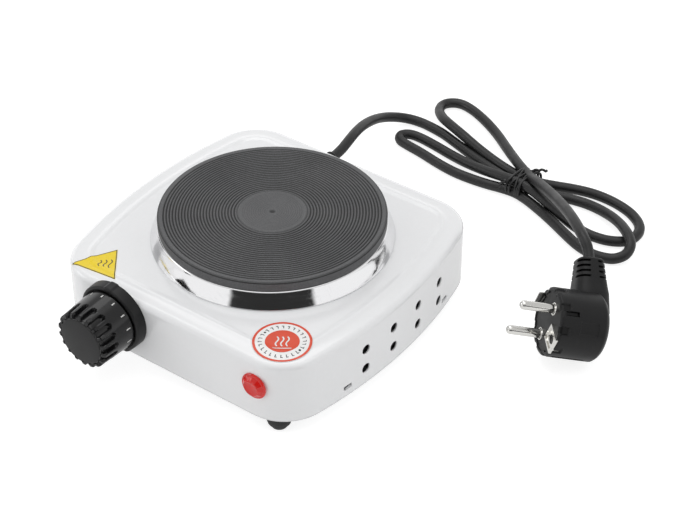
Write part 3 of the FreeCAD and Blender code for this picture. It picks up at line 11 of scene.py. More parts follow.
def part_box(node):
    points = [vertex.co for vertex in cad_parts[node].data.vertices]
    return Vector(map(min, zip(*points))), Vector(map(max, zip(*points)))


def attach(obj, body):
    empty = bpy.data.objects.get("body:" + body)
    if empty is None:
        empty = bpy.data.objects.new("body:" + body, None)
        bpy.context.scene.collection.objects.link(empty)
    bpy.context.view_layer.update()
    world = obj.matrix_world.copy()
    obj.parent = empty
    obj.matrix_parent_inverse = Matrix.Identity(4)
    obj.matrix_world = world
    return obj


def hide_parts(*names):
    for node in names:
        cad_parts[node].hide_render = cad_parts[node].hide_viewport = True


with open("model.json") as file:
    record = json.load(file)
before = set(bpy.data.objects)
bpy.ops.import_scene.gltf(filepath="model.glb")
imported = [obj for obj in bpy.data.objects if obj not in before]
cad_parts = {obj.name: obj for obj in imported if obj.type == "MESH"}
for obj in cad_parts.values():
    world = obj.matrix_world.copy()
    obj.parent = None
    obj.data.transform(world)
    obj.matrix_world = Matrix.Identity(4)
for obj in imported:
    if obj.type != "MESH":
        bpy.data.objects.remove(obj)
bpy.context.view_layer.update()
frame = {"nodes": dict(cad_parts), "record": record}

bl_info = {
    "name": "Hot plate burner",
    "version": (1, 0, 0),
    "blender": (4, 5, 0),
    "location": "3D View > Sidebar > Hot plate",
    "description": "Builds the visible pieces of a small electric hot plate round its engineering model",
    "category": "Add Mesh",
}

MM = 0.001
FULL_TURN = 2 * math.pi
SIDEBAR_TAB = "Hot plate"


def middle(node):
    """Centre of a CAD node's box, in metres."""
    low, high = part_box(node)
    return np.array((low + high) / 2)


SHELL_LOW, SHELL_HIGH = (np.array(corner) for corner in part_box("top_shell"))
CASING_MIDDLE = (SHELL_LOW + SHELL_HIGH) / 2
PLATE_LOW, PLATE_HIGH = (np.array(corner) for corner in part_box("hot_plate"))
PLATE_MIDDLE = (PLATE_LOW + PLATE_HIGH) / 2
FRONT_Y = SHELL_LOW[1]
REAR_Y = SHELL_HIGH[1]
TOP_Z = SHELL_HIGH[2]
KNOB_MIDDLE = middle("knob_grip")
LENS_MIDDLE = middle("indicator_lens")
GLAND_MIDDLE = middle("cord_gland")

# ---------------------------------------------------------------- sizes and colours


def distance(name, description, default, **limits):
    """One length setting, in metres."""
    return FloatProperty(
        name=name, description=description, default=default, subtype="DISTANCE", unit="LENGTH", **limits
    )


def colour(name, description, default):
    """One linear colour setting."""
    return FloatVectorProperty(
        name=name, description=description, default=default, size=3, subtype="COLOR", min=0.0, max=1.0
    )


class HotPlateCasing(bpy.types.PropertyGroup):
    """Sizes of the pressed casing."""

    side_bulge: distance("Side bulge", "Bow of each side wall", 12.5 * MM)
    corner: distance("Corner radius", "Plan radius of the corners", 25.7 * MM)
    edge: distance("Edge radius", "Pressed edge round the top panel", 3.5 * MM)
    sheet: distance("Sheet", "Thickness of the steel", 1.0 * MM)
    ridge_inset: distance("Ridge inset", "Pressed ridge from the outside of the wall", 11.0 * MM)
    ridge_width: distance("Ridge width", "Half width of the pressed ridge", 1.7 * MM)
    ridge_height: distance("Ridge height", "Pressed ridge above the panel", 0.6 * MM)
    vent: distance("Vent radius", "Radius of a vent hole", 2.8 * MM)
    opening: distance("Opening radius", "Hole for the trim ring's collar", 56.6 * MM)


class HotPlateHeater(bpy.types.PropertyGroup):
    """Sizes of the cast plate and its trim ring."""

    groove_pitch: distance("Groove pitch", "Turned grooves, one to the next", 1.6 * MM)
    groove_depth: distance("Groove depth", "Depth of the turned grooves", 0.42 * MM)
    fine_radius: distance("Fine zone", "Radius of the finely turned middle", 17.5 * MM)
    bevel: distance("Bevel", "Top edge of the plate", 1.0 * MM)
    ring_flare: distance("Ring flare", "Foot of the trim ring outside the plate", 4.3 * MM)
    ring_lip: distance("Ring lip", "Top of the trim ring outside the plate", 0.7 * MM)
    ring_sheet: distance("Ring sheet", "Thickness of the trim ring", 0.8 * MM)


class HotPlateKnob(bpy.types.PropertyGroup):
    """Sizes of the knob and its collar."""

    reach: distance("Reach", "Front of the knob from the wall", 28.5 * MM)
    back: distance("Back radius", "Knob beside the collar", 16.8 * MM)
    front: distance("Front radius", "Knob at its shoulder", 16.0 * MM)
    cap: distance("Cap radius", "Smooth cap in the front of the knob", 13.3 * MM)
    flutes: IntProperty(name="Flutes", description="Finger flutes round the knob", default=18, min=3)
    flute_width: distance("Flute half width", "Half width of a flute", 1.85 * MM)
    flute_depth: distance("Flute depth", "Depth of a flute", 2.3 * MM)
    flute_length: distance("Flute length", "Flute from the front of the knob", 10.5 * MM)
    collar: distance("Collar radius", "Fixed collar on the wall", 19.3 * MM)
    collar_depth: distance("Collar depth", "Fixed collar from the wall", 6.5 * MM)


class HotPlateCord(bpy.types.PropertyGroup):
    """Sizes of the mains cord."""

    diameter: distance("Diameter", "Diameter of the mains cord", 6.0 * MM)
    length: distance("Length", "From the sleeve's tip to the plug", 1.06)
    wire: distance("Tie wire", "Radius of the tie's wire", 0.75 * MM)


class HotPlateStage(bpy.types.PropertyGroup):
    """Camera, floor and light."""

    azimuth: FloatProperty(
        name="Azimuth", description="Camera round from the front", default=math.radians(36.37), subtype="ANGLE"
    )
    elevation: FloatProperty(
        name="Elevation", description="Camera above the floor", default=math.radians(37.88), subtype="ANGLE"
    )
    lens: FloatProperty(
        name="Lens", description="Focal length on a 36 mm sensor", default=100.3, subtype="DISTANCE_CAMERA"
    )
    floor: distance("Floor", "Half width of the floor", 3.0)
    light: FloatProperty(name="Light", description="Strength of the studio's walls and ceiling", default=1.1, min=0.0)


class HotPlateColours(bpy.types.PropertyGroup):
    """Colours of the finishes."""

    enamel: colour("Enamel", "Casing", (0.86, 0.865, 0.875))
    iron: colour("Cast iron", "Plate", (0.135, 0.136, 0.14))
    black: colour("Black plastic", "Knob, collar and plug", (0.01, 0.01, 0.0105))
    cord: colour("Cord", "Mains cord", (0.0085, 0.0085, 0.009))
    red: colour("Lens", "Indicator lens", (0.72, 0.02, 0.016))
    label_red: colour("Label red", "Round label", (0.74, 0.07, 0.025))
    label_yellow: colour("Label yellow", "Triangular label", (0.88, 0.66, 0.02))
    ink: colour("Ink", "Dark print", (0.03, 0.03, 0.035))


SETTINGS = {
    "hot_plate_casing": HotPlateCasing,
    "hot_plate_heater": HotPlateHeater,
    "hot_plate_knob": HotPlateKnob,
    "hot_plate_cord": HotPlateCord,
    "hot_plate_stage": HotPlateStage,
    "hot_plate_colours": HotPlateColours,
}

# ---------------------------------------------------------------- meshes


def smooth(value, start, end):
    """0 before start, 1 after end, and an S curve between: 3t^2 - 2t^3."""
    t = np.clip((value - start) / (end - start), 0.0, 1.0)
    return t * t * (3 - 2 * t)


def grid_quads(ids, wrap_columns=False, wrap_rows=False):
    """Four-sided faces over a grid of vertex numbers, joined at the seams where it wraps."""
    if wrap_columns:
        ids = np.concatenate([ids, ids[:, :1]], axis=1)
    if wrap_rows:
        ids = np.concatenate([ids, ids[:1]], axis=0)
    return np.stack([ids[:-1, :-1], ids[:-1, 1:], ids[1:, 1:], ids[1:, :-1]], axis=-1).reshape(-1, 4)


def closed_ends(ids):
    """Vertex numbers of a grid, with its first and last rows each drawn together in one point."""
    ids[0], ids[-1] = ids[0, 0], ids[-1, 0]
    return ids


def powered(wave, power):
    """Sine or cosine raised to a power with its sign kept, which makes a circle a rounded square."""
    return np.sign(wave) * np.abs(wave) ** power


def faces_outward(points, quads):
    """The same faces, turned over if the enclosed volume (sum of corner products over 6) is negative."""
    a, b, c, d = (points[quads[:, k]] for k in range(4))
    volume = np.einsum("ij,ij->i", a, np.cross(b, c)).sum() + np.einsum("ij,ij->i", a, np.cross(c, d)).sum()
    return quads if volume > 0 else quads[:, ::-1]


def make_piece(name, points, quads, slot, body="appliance", sharp=38.0, closed=True, painted_shade=None):
    """A mesh object from arrays of points in metres and four-sided faces; repeated corners make triangles."""
    points = np.asarray(points, float).reshape(-1, 3)
    quads = np.asarray(quads, int)
    if closed:
        quads = faces_outward(points, quads)
    used, quads = np.unique(quads, return_inverse=True)
    quads = quads.reshape(-1, 4)
    points = points[used]
    same = quads == np.roll(quads, -1, axis=1)
    whole = quads[~same.any(axis=1)]
    thin = quads[same.sum(axis=1) == 1]
    keep = ~same[same.sum(axis=1) == 1]
    triangles = thin[keep].reshape(-1, 3)
    mesh = bpy.data.meshes.new(name)
    mesh.from_pydata(points.tolist(), [], whole.tolist() + triangles.tolist())
    mesh.validate()
    # Per-point painted shade: a value from 0 to 1 that the finishes use to darken the base colour in grooves, cuts and
    # slots.
    if painted_shade is not None:
        mesh.attributes.new("painted_shade", "FLOAT", "POINT").data.foreach_set("value", np.asarray(painted_shade, float)[used])
    mesh.shade_smooth()
    mesh.set_sharp_from_angle(angle=math.radians(sharp))
    piece = bpy.data.objects.new(name, mesh)
    bpy.context.scene.collection.objects.link(piece)
    piece.data.materials.append(finishes()[slot])
    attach(piece, body)
    return piece


def thicken(piece, thickness, offset=-1.0):
    """Gives an open sheet its thickness, towards its inside unless offset says otherwise."""
    wall = piece.modifiers.new("Sheet", "SOLIDIFY")
    wall.thickness = thickness
    wall.offset = offset
    return piece


def rounded(corners, steps=5):
    """Outline whose corners (x, y, size) become quadratic curves that start and end `size` away from each corner."""
    corners = np.asarray(corners, float)
    here = corners[:, :2]
    before = np.roll(here, 1, axis=0)
    after = np.roll(here, -1, axis=0)

    def towards(other):
        way = other - here
        length = np.maximum(np.linalg.norm(way, axis=1), 1e-9)
        return here + way * (np.minimum(corners[:, 2], 0.49 * length) / length)[:, None]

    start, end = towards(before), towards(after)
    t = np.linspace(0, 1, steps)[None, :, None]
    curve = (1 - t) ** 2 * start[:, None] + 2 * t * (1 - t) * here[:, None] + t * t * end[:, None]
    curve = curve.reshape(-1, 2)
    apart = np.linalg.norm(curve - np.roll(curve, 1, axis=0), axis=1) > 1e-7
    return curve[apart]


def axis_frame(axis):
    """Two unit vectors square to an axis, and the axis itself."""
    axis = np.asarray(axis, float) / np.linalg.norm(axis)
    side = np.cross([0.0, 0.0, 1.0], axis) if abs(axis[2]) < 0.9 else np.array([1.0, 0.0, 0.0])
    side = side / np.linalg.norm(side)
    return side, np.cross(axis, side), axis


def turned_surface(outline, centre, axis, turns=96, shape=None, loop=True):
    """Surface of revolution: centre + height * axis + radius * (cos u * side + sin u * up).

    outline is (radius, height) in metres; shape(angle, radius, height) may change the radius over the surface.
    A radius of zero is a pole, kept as one point.
    """
    outline = np.asarray(outline, float)
    angle = np.linspace(0, FULL_TURN, turns, endpoint=False)[None, :]
    radius = np.repeat(outline[:, :1], turns, axis=1)
    height = np.repeat(outline[:, 1:], turns, axis=1)
    if shape is not None:
        radius = np.where(radius > 0, shape(angle, radius, height), radius)
    side, up, way = axis_frame(axis)
    ring = np.cos(angle)[..., None] * side + np.sin(angle)[..., None] * up
    points = np.asarray(centre) + height[..., None] * way + radius[..., None] * ring
    ids = np.arange(points.shape[0] * turns).reshape(-1, turns)
    ids = np.where(outline[:, :1] > 0, ids, ids[:, :1])
    return points.reshape(-1, 3), grid_quads(ids, wrap_columns=True, wrap_rows=loop)


def tube_surface(path, radius, outward, around=12):
    """Tube along a path: path + radius * (cos v * outward + sin v * (tangent x outward)), closed at its ends."""
    path = np.asarray(path, float)
    tangent = np.gradient(path, axis=0)
    tangent /= np.linalg.norm(tangent, axis=1)[:, None]
    normal = outward - (outward * tangent).sum(axis=1)[:, None] * tangent
    normal /= np.linalg.norm(normal, axis=1)[:, None]
    other = np.cross(tangent, normal)
    angle = np.linspace(0, FULL_TURN, around, endpoint=False)
    ring = np.cos(angle)[None, :, None] * normal[:, None] + np.sin(angle)[None, :, None] * other[:, None]
    body = path[:, None] + np.asarray(radius).reshape(-1, 1, 1) * ring
    tips = np.repeat(path[[0, -1]][:, None], around, axis=1)
    points = np.concatenate([tips[:1], body, tips[1:]], axis=0)
    ids = closed_ends(np.arange(points.shape[0] * around).reshape(-1, around))
    return points.reshape(-1, 3), grid_quads(ids, wrap_columns=True)


def joined(surfaces):
    """Several (points, faces) surfaces as one."""
    starts = np.cumsum([0] + [len(points) for points, quads in surfaces[:-1]])
    points = np.concatenate([points for points, quads in surfaces])
    quads = np.concatenate([faces_outward(p, q) + start for (p, q), start in zip(surfaces, starts)])
    return points, quads


# ---------------------------------------------------------------- finishes


def add(tree, kind, inputs=None, **settings):
    """One shader node; inputs are values or the sockets that feed it."""
    made = tree.nodes.new("ShaderNode" + kind)
    for name, value in settings.items():
        setattr(made, name, value)
    for key, value in (inputs or {}).items():
        if isinstance(value, bpy.types.NodeSocket):
            tree.links.new(value, made.inputs[key])
        else:
            made.inputs[key].default_value = value
    return made


def new_group(name, inputs, outputs):
    """Empty shader group with named sockets: {name: (type, default)} in, {name: type} out."""
    tree = bpy.data.node_groups.new(name, "ShaderNodeTree")
    for label, (kind, default) in inputs.items():
        socket = tree.interface.new_socket(name=label, in_out="INPUT", socket_type="NodeSocket" + kind)
        socket.default_value = default
    for label, kind in outputs.items():
        tree.interface.new_socket(name=label, in_out="OUTPUT", socket_type="NodeSocket" + kind)
    return tree, tree.nodes.new("NodeGroupInput").outputs, tree.nodes.new("NodeGroupOutput").inputs


def noise(tree, vector, scale, detail=3.0, rough=0.55):
    return add(
        tree, "TexNoise", {"Vector": vector, "Scale": scale, "Detail": detail, "Roughness": rough}
    ).outputs["Fac"]


def math_node(tree, operation, first, second=0.0):
    return add(tree, "Math", {0: first, 1: second}, operation=operation).outputs[0]


def spread(tree, value, low, high, start=0.3, end=0.7):
    """Noise value stretched from its usual span to low..high."""
    return add(
        tree, "MapRange", {"Value": value, "From Min": start, "From Max": end, "To Min": low, "To Max": high}
    ).outputs[0]


def grain_group():
    """Surface grain: fine speckle, slow patches, and both as a height."""
    tree, given, out = new_group(
        "Surface grain",
        {"Scale": ("Float", 800.0), "Patch scale": ("Float", 60.0), "Stretch": ("Vector", (1.0, 1.0, 1.0))},
        {"Speckle": "Float", "Patches": "Float", "Height": "Float"},
    )
    place = add(tree, "TexCoord").outputs["Object"]
    vector = add(tree, "Mapping", {"Vector": place, "Scale": given["Stretch"]}).outputs[0]
    speckle = noise(tree, vector, given["Scale"], 4.0, 0.6)
    patches = noise(tree, vector, given["Patch scale"], 2.0, 0.5)
    height = math_node(tree, "MULTIPLY_ADD", patches, 0.35)
    tree.nodes[-1].inputs[2].default_value = 0.0
    tree.links.new(math_node(tree, "ADD", height, speckle), out["Height"])
    tree.links.new(speckle, out["Speckle"])
    tree.links.new(patches, out["Patches"])
    return tree


def scuff_group():
    """Handling marks: the thin crests of a long stretched noise, broken up by a second one."""
    tree, given, out = new_group(
        "Handling scuffs",
        {"Scale": ("Float", 90.0), "Stretch": ("Vector", (1.0, 9.0, 1.0)), "Amount": ("Float", 0.5)},
        {"Mask": "Float"},
    )
    place = add(tree, "TexCoord").outputs["Object"]
    vector = add(tree, "Mapping", {"Vector": place, "Scale": given["Stretch"]}).outputs[0]
    lines = spread(tree, noise(tree, vector, given["Scale"], 5.0, 0.7), 0.0, 1.0, 0.56, 0.66)
    broken = spread(tree, noise(tree, place, 35.0, 2.0), 0.0, 1.0, 0.45, 0.6)
    mask = math_node(tree, "MULTIPLY", math_node(tree, "MULTIPLY", lines, broken), given["Amount"])
    tree.links.new(mask, out["Mask"])
    return tree


def tint_group():
    """Colour that drifts from Light to Dark with Speckle, and towards Worn where Scuffs is high."""
    tree, given, out = new_group(
        "Tinted colour",
        {
            "Light": ("Color", (0.8, 0.8, 0.8, 1.0)),
            "Dark": ("Color", (0.6, 0.6, 0.6, 1.0)),
            "Worn": ("Color", (0.5, 0.5, 0.5, 1.0)),
            "Speckle": ("Float", 0.5),
            "Scuffs": ("Float", 0.0),
        },
        {"Color": "Color"},
    )
    ground = add(
        tree, "Mix", {0: spread(tree, given["Speckle"], 0.0, 1.0), 6: given["Light"], 7: given["Dark"]}, data_type="RGBA"
    ).outputs[2]
    worn = add(tree, "Mix", {0: given["Scuffs"], 6: ground, 7: given["Worn"]}, data_type="RGBA").outputs[2]
    tree.links.new(worn, out["Color"])
    return tree


GROUPS = {}
FINISHES = {}


def group_node(tree, name, inputs):
    """Places one of the shared groups in a material."""
    if name not in GROUPS:
        GROUPS[name] = {"grain": grain_group, "scuff": scuff_group, "tint": tint_group}[name]()
    made = tree.nodes.new("ShaderNodeGroup")
    made.node_tree = GROUPS[name]
    for key, value in inputs.items():
        if isinstance(value, bpy.types.NodeSocket):
            tree.links.new(value, made.inputs[key])
        else:
            made.inputs[key].default_value = value
    return made.outputs


def shade(colour, factor):
    return tuple(min(1.0, c * factor) for c in colour[:3]) + (1.0,)


def finish(
    name, colour, dark=0.85, worn=1.3, rough=(0.3, 0.42), grain=900.0, patch=60.0, bump=0.1, depth=0.1,
    stretch=(1.0, 1.0, 1.0), scuff=0.3, scuff_rough=0.15, **shader
):
    """Finish with its own grain: colour, roughness and a bump of `depth` millimetres all follow the same noise."""
    material = bpy.data.materials.new(name)
    material.use_nodes = True
    tree = material.node_tree
    principled = tree.nodes["Principled BSDF"]
    grains = group_node(tree, "grain", {"Scale": grain, "Patch scale": patch, "Stretch": stretch})
    scuffs = group_node(tree, "scuff", {"Amount": scuff})["Mask"]
    tint = group_node(
        tree,
        "tint",
        {
            "Light": shade(colour, 1.0),
            "Dark": shade(colour, dark),
            "Worn": shade(colour, worn),
            "Speckle": grains["Speckle"],
            "Scuffs": scuffs,
        },
    )["Color"]
    # Painted shade: the per-point shade value from the mesh darkens the base colour down to 0.12 of itself in grooves,
    # cuts and slots.
    recess_shade = add(tree, "Attribute", attribute_name="painted_shade").outputs["Fac"]
    shadow = spread(tree, recess_shade, 1.0, 0.12, 0.0, 1.0)
    tint = add(tree, "VectorMath", {0: tint, 1: shadow}, operation="MULTIPLY").outputs[0]
    tree.links.new(tint, principled.inputs["Base Color"])
    varied = spread(tree, grains["Patches"], rough[0], rough[1])
    scuffed = add(tree, "Math", {0: scuffs, 1: scuff_rough, 2: varied}, operation="MULTIPLY_ADD").outputs[0]
    tree.links.new(scuffed, principled.inputs["Roughness"])
    relief = add(tree, "Bump", {"Height": grains["Height"], "Strength": bump, "Distance": depth * MM})
    tree.links.new(relief.outputs[0], principled.inputs["Normal"])
    for label, value in shader.items():
        principled.inputs[label.replace("_", " ")].default_value = value
    return material


def finishes():
    """One material for each of the record's slots, made once."""
    if FINISHES:
        return FINISHES
    colours = bpy.context.scene.hot_plate_colours
    record = {m["slot"]: m["base_color"][:3] for m in frame["record"]["materials"]}
    metal = {"Metallic": 1.0}
    FINISHES.update(
        enamel=finish(
            "White enamel", colours.enamel, dark=0.985, worn=0.93, rough=(0.16, 0.24), grain=420.0, bump=0.06,
            depth=0.05, scuff=0.15, Coat_Weight=0.6, Coat_Roughness=0.06
        ),
        iron=finish(
            "Blackened cast iron", colours.iron, dark=0.62, worn=1.5, rough=(0.5, 0.66), grain=1500.0, patch=45.0,
            bump=0.35, depth=0.12, scuff=0.25, Metallic=0.35
        ),
        polished=finish(
            "Polished stainless", record["polished"], dark=0.93, worn=0.8, rough=(0.05, 0.12), grain=2200.0,
            bump=0.02, depth=0.03, stretch=(1.0, 1.0, 12.0), scuff=0.3, scuff_rough=0.2, **metal
        ),
        knob_black=finish(
            "Glossy black plastic", colours.black, dark=0.8, worn=2.2, rough=(0.1, 0.18), grain=700.0, bump=0.05,
            depth=0.05, scuff=0.25, Coat_Weight=0.2, Coat_Roughness=0.08, Specular_IOR_Level=0.3
        ),
        bezel_black=finish(
            "Satin black plastic", colours.black, dark=0.75, worn=2.0, rough=(0.34, 0.46), grain=1300.0, bump=0.12,
            Specular_IOR_Level=0.28
        ),
        # Painted glow: a faint red emission makes the lens glow, though the lamp behind it gives no light.
        lens_red=finish(
            "Red indicator lens", colours.red, dark=0.85, worn=1.1, rough=(0.05, 0.1), grain=500.0, bump=0.02,
            scuff=0.1, scuff_rough=0.1, Transmission_Weight=0.35, IOR=1.49,
            Emission_Color=(*colours.red[:], 1.0), Emission_Strength=0.12
        ),
        cord_black=finish(
            "Black cord sheath", colours.cord, dark=0.78, worn=1.8, rough=(0.36, 0.5), grain=1600.0, patch=110.0,
            bump=0.16, depth=0.08, scuff=0.35
        ),
        tie_black=finish("Black tie wire", colours.cord, rough=(0.3, 0.42), grain=1400.0, bump=0.1),
        rubber=finish("Black rubber", record["rubber"], dark=0.7, worn=1.6, rough=(0.6, 0.78), grain=1200.0, bump=0.25),
        label_paper=finish("White label film", (0.9, 0.9, 0.89), dark=0.96, rough=(0.24, 0.34), grain=600.0, scuff=0.1),
        label_yellow=finish(
            "Yellow label film", colours.label_yellow, dark=0.94, rough=(0.24, 0.34), grain=600.0, scuff=0.1
        ),
        nickel=finish(
            "Bright nickel", record["nickel"], dark=0.9, worn=0.75, rough=(0.09, 0.18), grain=1800.0, bump=0.04,
            depth=0.04, **metal
        ),
        base_steel=finish(
            "Zinc plated sheet", record["base_steel"], dark=0.8, rough=(0.32, 0.48), grain=500.0, patch=90.0,
            stretch=(1.0, 6.0, 1.0), **metal
        ),
        zinc=finish(
            "Zinc plated steel", record["zinc"], dark=0.82, rough=(0.25, 0.4), grain=1100.0, patch=160.0, **metal
        ),
        coil=finish("Oxidised heater wire", record["coil"], dark=0.6, rough=(0.45, 0.6), grain=1500.0, **metal),
        brass=finish("Plain brass", record["brass"], dark=0.85, rough=(0.22, 0.36), grain=1200.0, **metal),
        filler=finish(
            "Packed insulation", record["filler"], dark=0.8, rough=(0.85, 0.95), grain=1000.0, bump=0.5, depth=0.3
        ),
        ceramic=finish("Unglazed ceramic", record["ceramic"], dark=0.93, rough=(0.5, 0.65), grain=900.0, bump=0.2),
        white_plastic=finish("White plastic", record["white_plastic"], dark=0.96, rough=(0.35, 0.45), grain=900.0),
        wire_coat=finish("Wire coating", record["wire_coat"], dark=0.85, rough=(0.35, 0.45), grain=1300.0),
        lamp_glass=finish(
            "Lamp glass", record["lamp_glass"], dark=0.97, rough=(0.03, 0.06), grain=300.0, bump=0.01,
            scuff=0.05, Transmission_Weight=0.9, IOR=1.5
        ),
        ink=finish("Dark print", colours.ink, rough=(0.3, 0.4), grain=900.0, scuff=0.1),
        red_ink=finish("Red print", colours.label_red, dark=0.93, rough=(0.26, 0.36), grain=700.0, scuff=0.1),
        dial_white=finish("White dial print", (0.82, 0.82, 0.8), dark=0.93, rough=(0.3, 0.4), grain=900.0, scuff=0.2),
    )
    return FINISHES


def repaint(piece, name):
    """Puts one of the print finishes on a piece that the record has under another slot."""
    piece.data.materials.clear()
    piece.data.materials.append(finishes()[name])
    return piece


# ---------------------------------------------------------------- stage


# Dark spans of the studio: azimuth from the camera's own, half width and soft edge, in radians.
DARK_SPANS = ((0.0, 0.60, 0.06), (-2.15, 0.10, 0.05), (2.05, 0.08, 0.05))


def studio_world(strength):
    """Even white studio with a darker zone low behind the camera, which polished metal picks up."""
    world = bpy.data.worlds.new("Studio")
    world.use_nodes = True
    tree = world.node_tree
    tree.nodes.clear()
    stage = bpy.context.scene.hot_plate_stage
    way = add(tree, "TexCoord").outputs["Generated"]
    turned_way = add(
        tree, "VectorRotate", {"Vector": way, "Angle": -stage.azimuth}, rotation_type="Z_AXIS"
    ).outputs[0]
    parts = add(tree, "SeparateXYZ", {0: turned_way}).outputs
    across = math_node(tree, "ARCTAN2", parts[0], math_node(tree, "MULTIPLY", parts[1], -1.0))
    level = parts[2]
    above_floor = spread(tree, level, 0, 1, -0.2, -0.16)
    low = math_node(tree, "MULTIPLY", above_floor, spread(tree, level, 1, 0, 0.4, 0.5))

    def flag(centre, half, soft):
        """1 inside a span of azimuth round the camera's own, in radians, and 0 outside."""
        off = math_node(tree, "ABSOLUTE", math_node(tree, "SUBTRACT", across, centre))
        return math_node(tree, "MULTIPLY", spread(tree, off, 1.0, 0.0, half, half + soft), low)

    dark, *others = (flag(*span) for span in DARK_SPANS)
    for other in others:
        dark = math_node(tree, "MAXIMUM", dark, other)
    wall_light = spread(tree, level, 1.0, 0.6, 0.3, 0.5)
    ceiling = math_node(tree, "ADD", wall_light, spread(tree, level, 0.0, 0.75, 0.84, 0.9))
    light = math_node(tree, "MULTIPLY", ceiling, spread(tree, dark, 1.0, 0.03, 0.0, 1.0))
    seen = add(tree, "LightPath").outputs["Is Camera Ray"]
    shown = math_node(tree, "MAXIMUM", light, seen)
    power = math_node(tree, "MULTIPLY", shown, strength)
    background = add(tree, "Background", {"Color": (1.0, 1.0, 1.0, 1.0), "Strength": power})
    output = add(tree, "OutputWorld")
    tree.links.new(background.outputs[0], output.inputs[0])
    return world


class HOTPLATE_OT_stage(bpy.types.Operator):
    """Camera, pale floor and soft studio light"""

    bl_idname = "hot_plate.stage"
    bl_label = "Stage"

    def execute(self, context):
        stage = context.scene.hot_plate_stage
        scene = context.scene
        turn, lift = stage.azimuth, stage.elevation
        back = Vector((math.sin(turn) * math.cos(lift), -math.cos(turn) * math.cos(lift), math.sin(lift)))
        right = Vector((math.cos(turn), math.sin(turn), 0.0))
        up = back.cross(right)
        camera = bpy.data.objects.new("camera", bpy.data.cameras.new("camera"))
        camera.data.lens = stage.lens
        camera.data.sensor_width = 36.0
        camera.data.sensor_fit = "HORIZONTAL"
        camera.data.clip_end = 20.0
        place = Vector(CAMERA_PLACE)
        camera.matrix_world = Matrix.Translation(place) @ Matrix((right, up, back)).transposed().to_4x4()
        scene.collection.objects.link(camera)
        scene.camera = camera
        scene.world = studio_world(stage.light)
        scene.view_settings.view_transform = "Standard"

        half = stage.floor
        corners = [(-half, -half, 0), (half, -half, 0), (half, half, 0), (-half, half, 0)]
        mesh = bpy.data.meshes.new("studio_floor")
        mesh.from_pydata(corners, [], [(0, 1, 2, 3)])
        paper = bpy.data.materials.new("Pale paper")
        paper.use_nodes = True
        principled = paper.node_tree.nodes["Principled BSDF"]
        principled.inputs["Base Color"].default_value = (0.45, 0.45, 0.45, 1.0)
        principled.inputs["Roughness"].default_value = 0.9
        principled.inputs["Specular IOR Level"].default_value = 0.1
        principled.inputs["Emission Color"].default_value = (1.0, 1.0, 1.0, 1.0)
        seen = add(paper.node_tree, "LightPath").outputs["Is Camera Ray"]
        glow = spread(paper.node_tree, seen, 0.5, 0.8, 0.0, 1.0)
        paper.node_tree.links.new(glow, principled.inputs["Emission Strength"])
        mesh.materials.append(paper)
        floor = bpy.data.objects.new("studio_floor", mesh)
        scene.collection.objects.link(floor)

        for name, spot, size, power in SOFT_LIGHTS:
            light = bpy.data.lights.new(name, "AREA")
            light.size = size
            light.energy = power
            lamp = bpy.data.objects.new(name, light)
            lamp.location = spot
            aim = Vector(CASING_MIDDLE) - Vector(spot)
            lamp.rotation_euler = aim.to_track_quat("-Z", "Y").to_euler()
            scene.collection.objects.link(lamp)
        return {"FINISHED"}


CAMERA_PLACE = (0.49541, -0.59699, 0.64218)
SOFT_LIGHTS = (
    ("high_softbox", (-0.7, 0.6, 1.5), 0.8, 3.0),
    ("side_softbox", (-1.3, -0.8, 0.8), 0.6, 2.0),
)

# ---------------------------------------------------------------- mains cord

